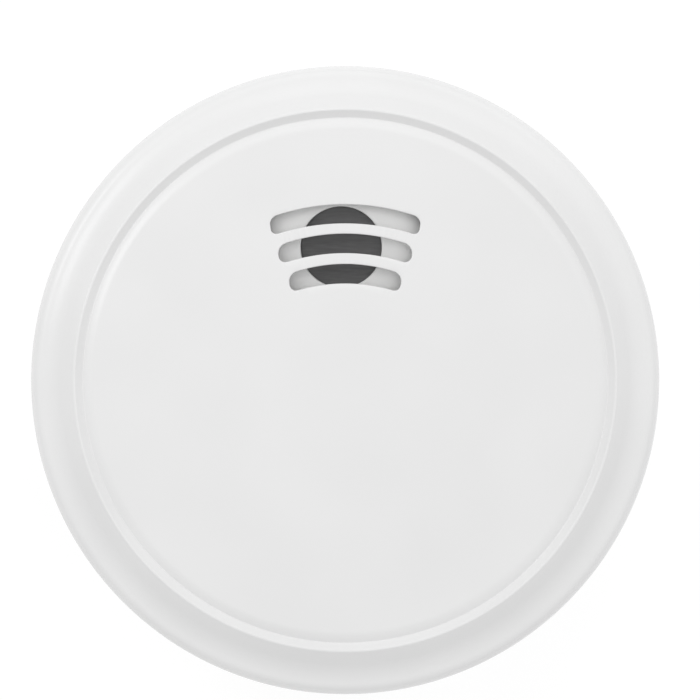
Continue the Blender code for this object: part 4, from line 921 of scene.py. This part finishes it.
def make_mesh_disc(look):
    low, high = MESH_BOX
    radius = HORN_MOUTH - CLOTH_GAP
    edge = 0.1 * MM
    outline = rounded([(0.0, low.z), (radius, low.z, edge), (radius, high.z, edge), (0.0, high.z)], 3)
    disc = piece("sounder_cloth", lathe(outline, PART_STEPS), look)
    disc.location = (*HORN_CENTRE, 0.0)
    return finished(disc, "alarm", "sounder_mesh", "horn_mesh")


# ---------------------------------------------------------------- springs


def make_spring(index, angle, look):
    """A round-wire coil between its two seats, with closed ends."""
    low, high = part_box(f"cover_spring_{index}")
    centre = polar(SPRING_CIRCLE, angle)
    bottom, top = low.z + SPRING_WIRE, high.z - SPRING_WIRE
    per_turn = 32
    count = SPRING_TURNS * per_turn
    curve = bpy.data.curves.new(f"return_spring_{index}", "CURVE")
    curve.dimensions = "3D"
    curve.bevel_depth = SPRING_WIRE
    curve.bevel_resolution = 3
    curve.use_fill_caps = True
    curve.materials.append(look)
    spline = curve.splines.new("POLY")
    spline.points.add(count)
    for step, point in enumerate(spline.points):
        share = step / count
        height = bottom + (top - bottom) * share
        place = centre + polar(SPRING_COIL_RADIUS, 360.0 * SPRING_TURNS * share, height)
        point.co = (*place, 1.0)
    wire = bpy.data.objects.new(f"wire_{index}", curve)
    bpy.context.scene.collection.objects.link(wire)
    graph = bpy.context.evaluated_depsgraph_get()
    mesh = bpy.data.meshes.new_from_object(wire.evaluated_get(graph))
    closed = bmesh.new()
    closed.from_mesh(mesh)
    bmesh.ops.remove_doubles(closed, verts=closed.verts, dist=WELD)
    closed.to_mesh(mesh)
    closed.free()
    bpy.data.objects.remove(wire)
    spring = bpy.data.objects.new(f"return_spring_{index}", mesh)
    bpy.context.scene.collection.objects.link(spring)
    finished(spring, "alarm", "zinc_steel", f"cover_spring_{index}", sharp_deg=60.0)
    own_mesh(spring)


# ---------------------------------------------------------------- inner pieces


def slot_of(node):
    return frame["nodes"][node].data.materials[0].name


def refined(node, look, edge, sharp_deg=30.0):
    """The CAD node's shape with its flats joined up, its edges rounded and its round sides smooth."""
    source = frame["nodes"][node]
    shape = bmesh.new()
    shape.from_mesh(source.data)
    bmesh.ops.remove_doubles(shape, verts=shape.verts, dist=WELD)
    flat = math.radians(FLAT_DEG)
    bmesh.ops.dissolve_limit(shape, angle_limit=flat, verts=shape.verts, edges=shape.edges)
    obj = piece(f"{node}_fine", shape, look)
    bevel = obj.modifiers.new("round_edges", "BEVEL")
    bevel.width = edge
    bevel.segments = 2
    bevel.limit_method = "ANGLE"
    bevel.angle_limit = math.radians(sharp_deg)
    return finished(obj, source["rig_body"], slot_of(node), node, sharp_deg=sharp_deg + 15.0)


def make_screen(look):
    """Wires round and up, with real openings between them."""
    low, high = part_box("insect_screen")
    centre = ((low + high) / 2).to_2d()
    radius = (high.x - low.x) / 2 - SCREEN_WIRE / 2
    bottom, top = low.z + SCREEN_WIRE / 2, high.z - SCREEN_WIRE / 2
    around = round(2.0 * math.pi * radius / SCREEN_PITCH)
    rows = round((top - bottom) / SCREEN_PITCH)
    shape = bmesh.new()
    rings = []
    for row in range(rows + 1):
        height = bottom + (top - bottom) * row / rows
        rings.append([shape.verts.new(polar(radius, 360.0 * i / around, height)) for i in range(around)])
    for lower, upper in zip(rings, rings[1:]):
        for i in range(around):
            j = (i + 1) % around
            shape.faces.new((lower[i], lower[j], upper[j], upper[i]))
    bmesh.ops.wireframe(shape, faces=shape.faces, thickness=SCREEN_WIRE, use_replace=True,
                        use_boundary=True, use_even_offset=True)
    screen = piece("screen_wires", shape, look)
    screen.location = (*centre, 0.0)
    return finished(screen, "alarm", slot_of("insect_screen"), "insect_screen", sharp_deg=50.0)


def make_cell(sleeve_look, can_look):
    """A wrapped cylinder cell: a steel can with its button, in a sleeve that folds over both ends."""
    low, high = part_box("lithium_cell")
    radius = (high.x - low.x) / 2
    centre = Vector(((low.x + high.x) / 2, 0.0, (low.z + high.z) / 2))
    start, end = low.y, high.y
    shoulder = end - CELL_BUTTON_LENGTH
    skin = CELL_SKIN
    sleeve = rounded([
        (radius - skin, start + skin), (radius - CELL_FOLD, start + skin, CELL_FOLD_EDGE),
        (radius - CELL_FOLD, start, CELL_FOLD_EDGE), (radius, start, CELL_ROUND),
        (radius, shoulder, CELL_ROUND), (radius - CELL_FOLD, shoulder, CELL_FOLD_EDGE),
        (radius - CELL_FOLD, shoulder - skin, CELL_FOLD_EDGE), (radius - skin, shoulder - skin),
    ], 6)
    inner = radius - 2.0 * skin
    can = rounded([
        (0.0, start + 2.0 * skin), (inner, start + 2.0 * skin, CELL_ROUND),
        (inner, shoulder - 2.0 * skin, CELL_ROUND),
        (CELL_BUTTON_RADIUS + 1.2 * MM, shoulder - 2.0 * skin, 0.3 * MM),
        (CELL_BUTTON_RADIUS + 0.8 * MM, shoulder - CELL_STEP, 0.3 * MM),
        (CELL_BUTTON_RADIUS, shoulder - CELL_STEP, 0.2 * MM), (CELL_BUTTON_RADIUS, end, 0.4 * MM),
        (0.0, end),
    ], 6)
    lay = Matrix.Translation(centre) @ Matrix.Rotation(math.radians(-90.0), 4, "X")
    for name, outline, look, nodes in (("cell_wrap", sleeve, sleeve_look, ["lithium_cell"]),
                                       ("cell_can", can, can_look, [])):
        shape = lathe(outline, PART_STEPS)
        bmesh.ops.transform(shape, matrix=lay, verts=shape.verts)
        slot = slot_of("lithium_cell") if nodes else "zinc_steel"
        finished(piece(name, shape, look), "alarm", slot, *nodes)


# ---------------------------------------------------------------- studio


def studio():
    """A light tent: an even dome of light with soft, brighter patches, most of them towards +Y."""
    world = bpy.data.worlds.new("studio")
    bpy.context.scene.world = world
    world.use_nodes = True
    tree = world.node_tree
    facing = tree.nodes.new("ShaderNodeTexCoord").outputs["Generated"]
    total = None
    for bearing, height, tightness, strength in SOFT_PATCHES:
        aim = polar(math.cos(math.radians(height)), bearing, math.sin(math.radians(height)))
        dot = tree.nodes.new("ShaderNodeVectorMath")
        dot.operation = "DOT_PRODUCT"
        dot.inputs[1].default_value = aim
        tree.links.new(facing, dot.inputs[0])
        share = dot.outputs["Value"]
        for operation, value in (("MAXIMUM", 0.0), ("POWER", tightness), ("MULTIPLY", strength)):
            step = tree.nodes.new("ShaderNodeMath")
            step.operation = operation
            tree.links.new(share, step.inputs[0])
            step.inputs[1].default_value = value
            share = step.outputs["Value"]
        plus = tree.nodes.new("ShaderNodeMath")
        plus.operation = "ADD"
        tree.links.new(share, plus.inputs[0])
        if total:
            tree.links.new(total, plus.inputs[1])
        else:
            plus.inputs[1].default_value = TENT_LIGHT
        total = plus.outputs["Value"]
    background = tree.nodes["Background"]
    background.inputs["Color"].default_value = (1.0, 1.0, 1.0, 1.0)
    tree.links.new(total, background.inputs["Strength"])


def softbox(name, place, size, power):
    """A square light that faces the alarm."""
    light = bpy.data.lights.new(name, "AREA")
    light.shape = "SQUARE"
    light.size = size
    light.energy = power
    obj = bpy.data.objects.new(name, light)
    bpy.context.scene.collection.objects.link(obj)
    obj.location = place
    obj.rotation_mode = "QUATERNION"
    obj.rotation_quaternion = (Vector((0.0, 0.0, COVER_TOP)) - Vector(place)).to_track_quat("-Z", "Y")


def make_floor():
    n = Nodes("floor_look")
    paper = n.noise(40.0 * MM, 2.0, 0.4)
    material = n.set(
        Base_Color=n.ramp(paper, (0.14, 0.14, 0.14), (0.16, 0.16, 0.16)),
        Roughness=0.9,
        Emission_Color=(1.0, 1.0, 1.0, 1.0),
        Emission_Strength=FLOOR_GLOW,
    )
    shape = bmesh.new()
    bmesh.ops.create_grid(shape, x_segments=8, y_segments=8, size=FLOOR_REACH)
    floor = piece("floor", shape, material)


def make_camera():
    data = bpy.data.cameras.new("camera")
    camera = bpy.data.objects.new("camera", data)
    bpy.context.scene.collection.objects.link(camera)
    widest = (SKIRT_BOTTOM + CREST_HEIGHT) / 2
    data.sensor_width = 36.0
    data.lens = data.sensor_width * CAMERA_DISTANCE / VIEW_WIDTH
    data.clip_start, data.clip_end = 0.05, 30.0
    camera.location = (*VIEW_CENTRE, widest + CAMERA_DISTANCE)
    bpy.context.scene.camera = camera


def main():
    scene = bpy.context.scene
    scene.view_settings.view_transform = "Standard"
    scene.view_settings.look = "None"

    white = moulded_plastic("white_look", (0.80, 0.80, 0.80), 0.23)
    base_white = moulded_plastic("base_look", (0.77, 0.77, 0.765), 0.42)
    horn_white = moulded_plastic("sounder_look", (0.86, 0.86, 0.855), 0.45)
    black = moulded_plastic("black_look", (0.022, 0.022, 0.023), 0.5, mottle=0.1)
    cloth = cloth_look((0.135, 0.135, 0.136))
    steel = metal("steel_look", (0.62, 0.62, 0.63), 0.32)
    tin = metal("tin_look", (0.66, 0.66, 0.64), 0.3, (1.0, 8.0, 1.0))
    brass = metal("brass_look", (0.75, 0.55, 0.22), 0.3, (8.0, 1.0, 1.0))
    board = board_look()
    can = metal("can_look", (0.72, 0.72, 0.74), 0.28)
    screen_steel = metal("screen_look", (0.45, 0.45, 0.46), 0.35)
    ceramic = moulded_plastic("ceramic_look", (0.78, 0.77, 0.70), 0.5, 0.2 * MM, 0.004 * MM, 0.04)
    sleeve = moulded_plastic("sleeve_look", (0.05, 0.10, 0.32), 0.3, 0.8 * MM, 0.003 * MM, 0.05)

    make_cover(white)
    make_housing(white)
    make_base(base_white)
    make_horn(horn_white)
    make_mesh_disc(cloth)
    for index, angle in enumerate(SPRING_ANGLES, 1):
        make_spring(index, angle, steel)

    make_screen(screen_steel)
    make_cell(sleeve, steel)
    looks = {
        "circuit_board": board,
        "chamber_base": black, "chamber_labyrinth": black, "chamber_cap": black,
        "infrared_led": clear_plastic("infrared_look", (0.35, 0.35, 0.65)),
        "photodiode": clear_plastic("photodiode_look", (0.05, 0.03, 0.05), 0.4),
        "piezo_plate": brass, "piezo_ceramic": ceramic, "piezo_retainer": black,
        "cell_positive_tab": tin, "cell_negative_tab": tin,
        "test_switch_body": black, "test_switch_plunger": steel,
        "status_led": clear_plastic("lamp_look", (0.65, 0.04, 0.04), 0.6),
        "light_pipe": clear_plastic("pipe_look", (0.92, 0.94, 0.95)),
        "microcontroller": black,
        "storage_capacitor": can,
        "sounder_coil": winding("winding_look", (0.60, 0.26, 0.09), 0.3 * MM),
        "power_slider": black, "slider_wiper": brass,
    }
    for index in (1, 2, 3):
        looks[f"board_screw_{index}"] = steel
        looks[f"piezo_contact_{index}"] = tin
    thin = {"piezo_plate", "piezo_ceramic", "slider_wiper", "microcontroller", "sounder_coil",
            "piezo_contact_1", "piezo_contact_2", "piezo_contact_3"}
    for node, look in looks.items():
        refined(node, look, THIN_EDGE if node in thin else PIECE_EDGE)

    make_floor()
    studio()
    softbox("key", KEY_PLACE, KEY_SIZE, KEY_POWER)
    softbox("top", TOP_PLACE, TOP_SIZE, TOP_POWER)
    make_camera()


main()
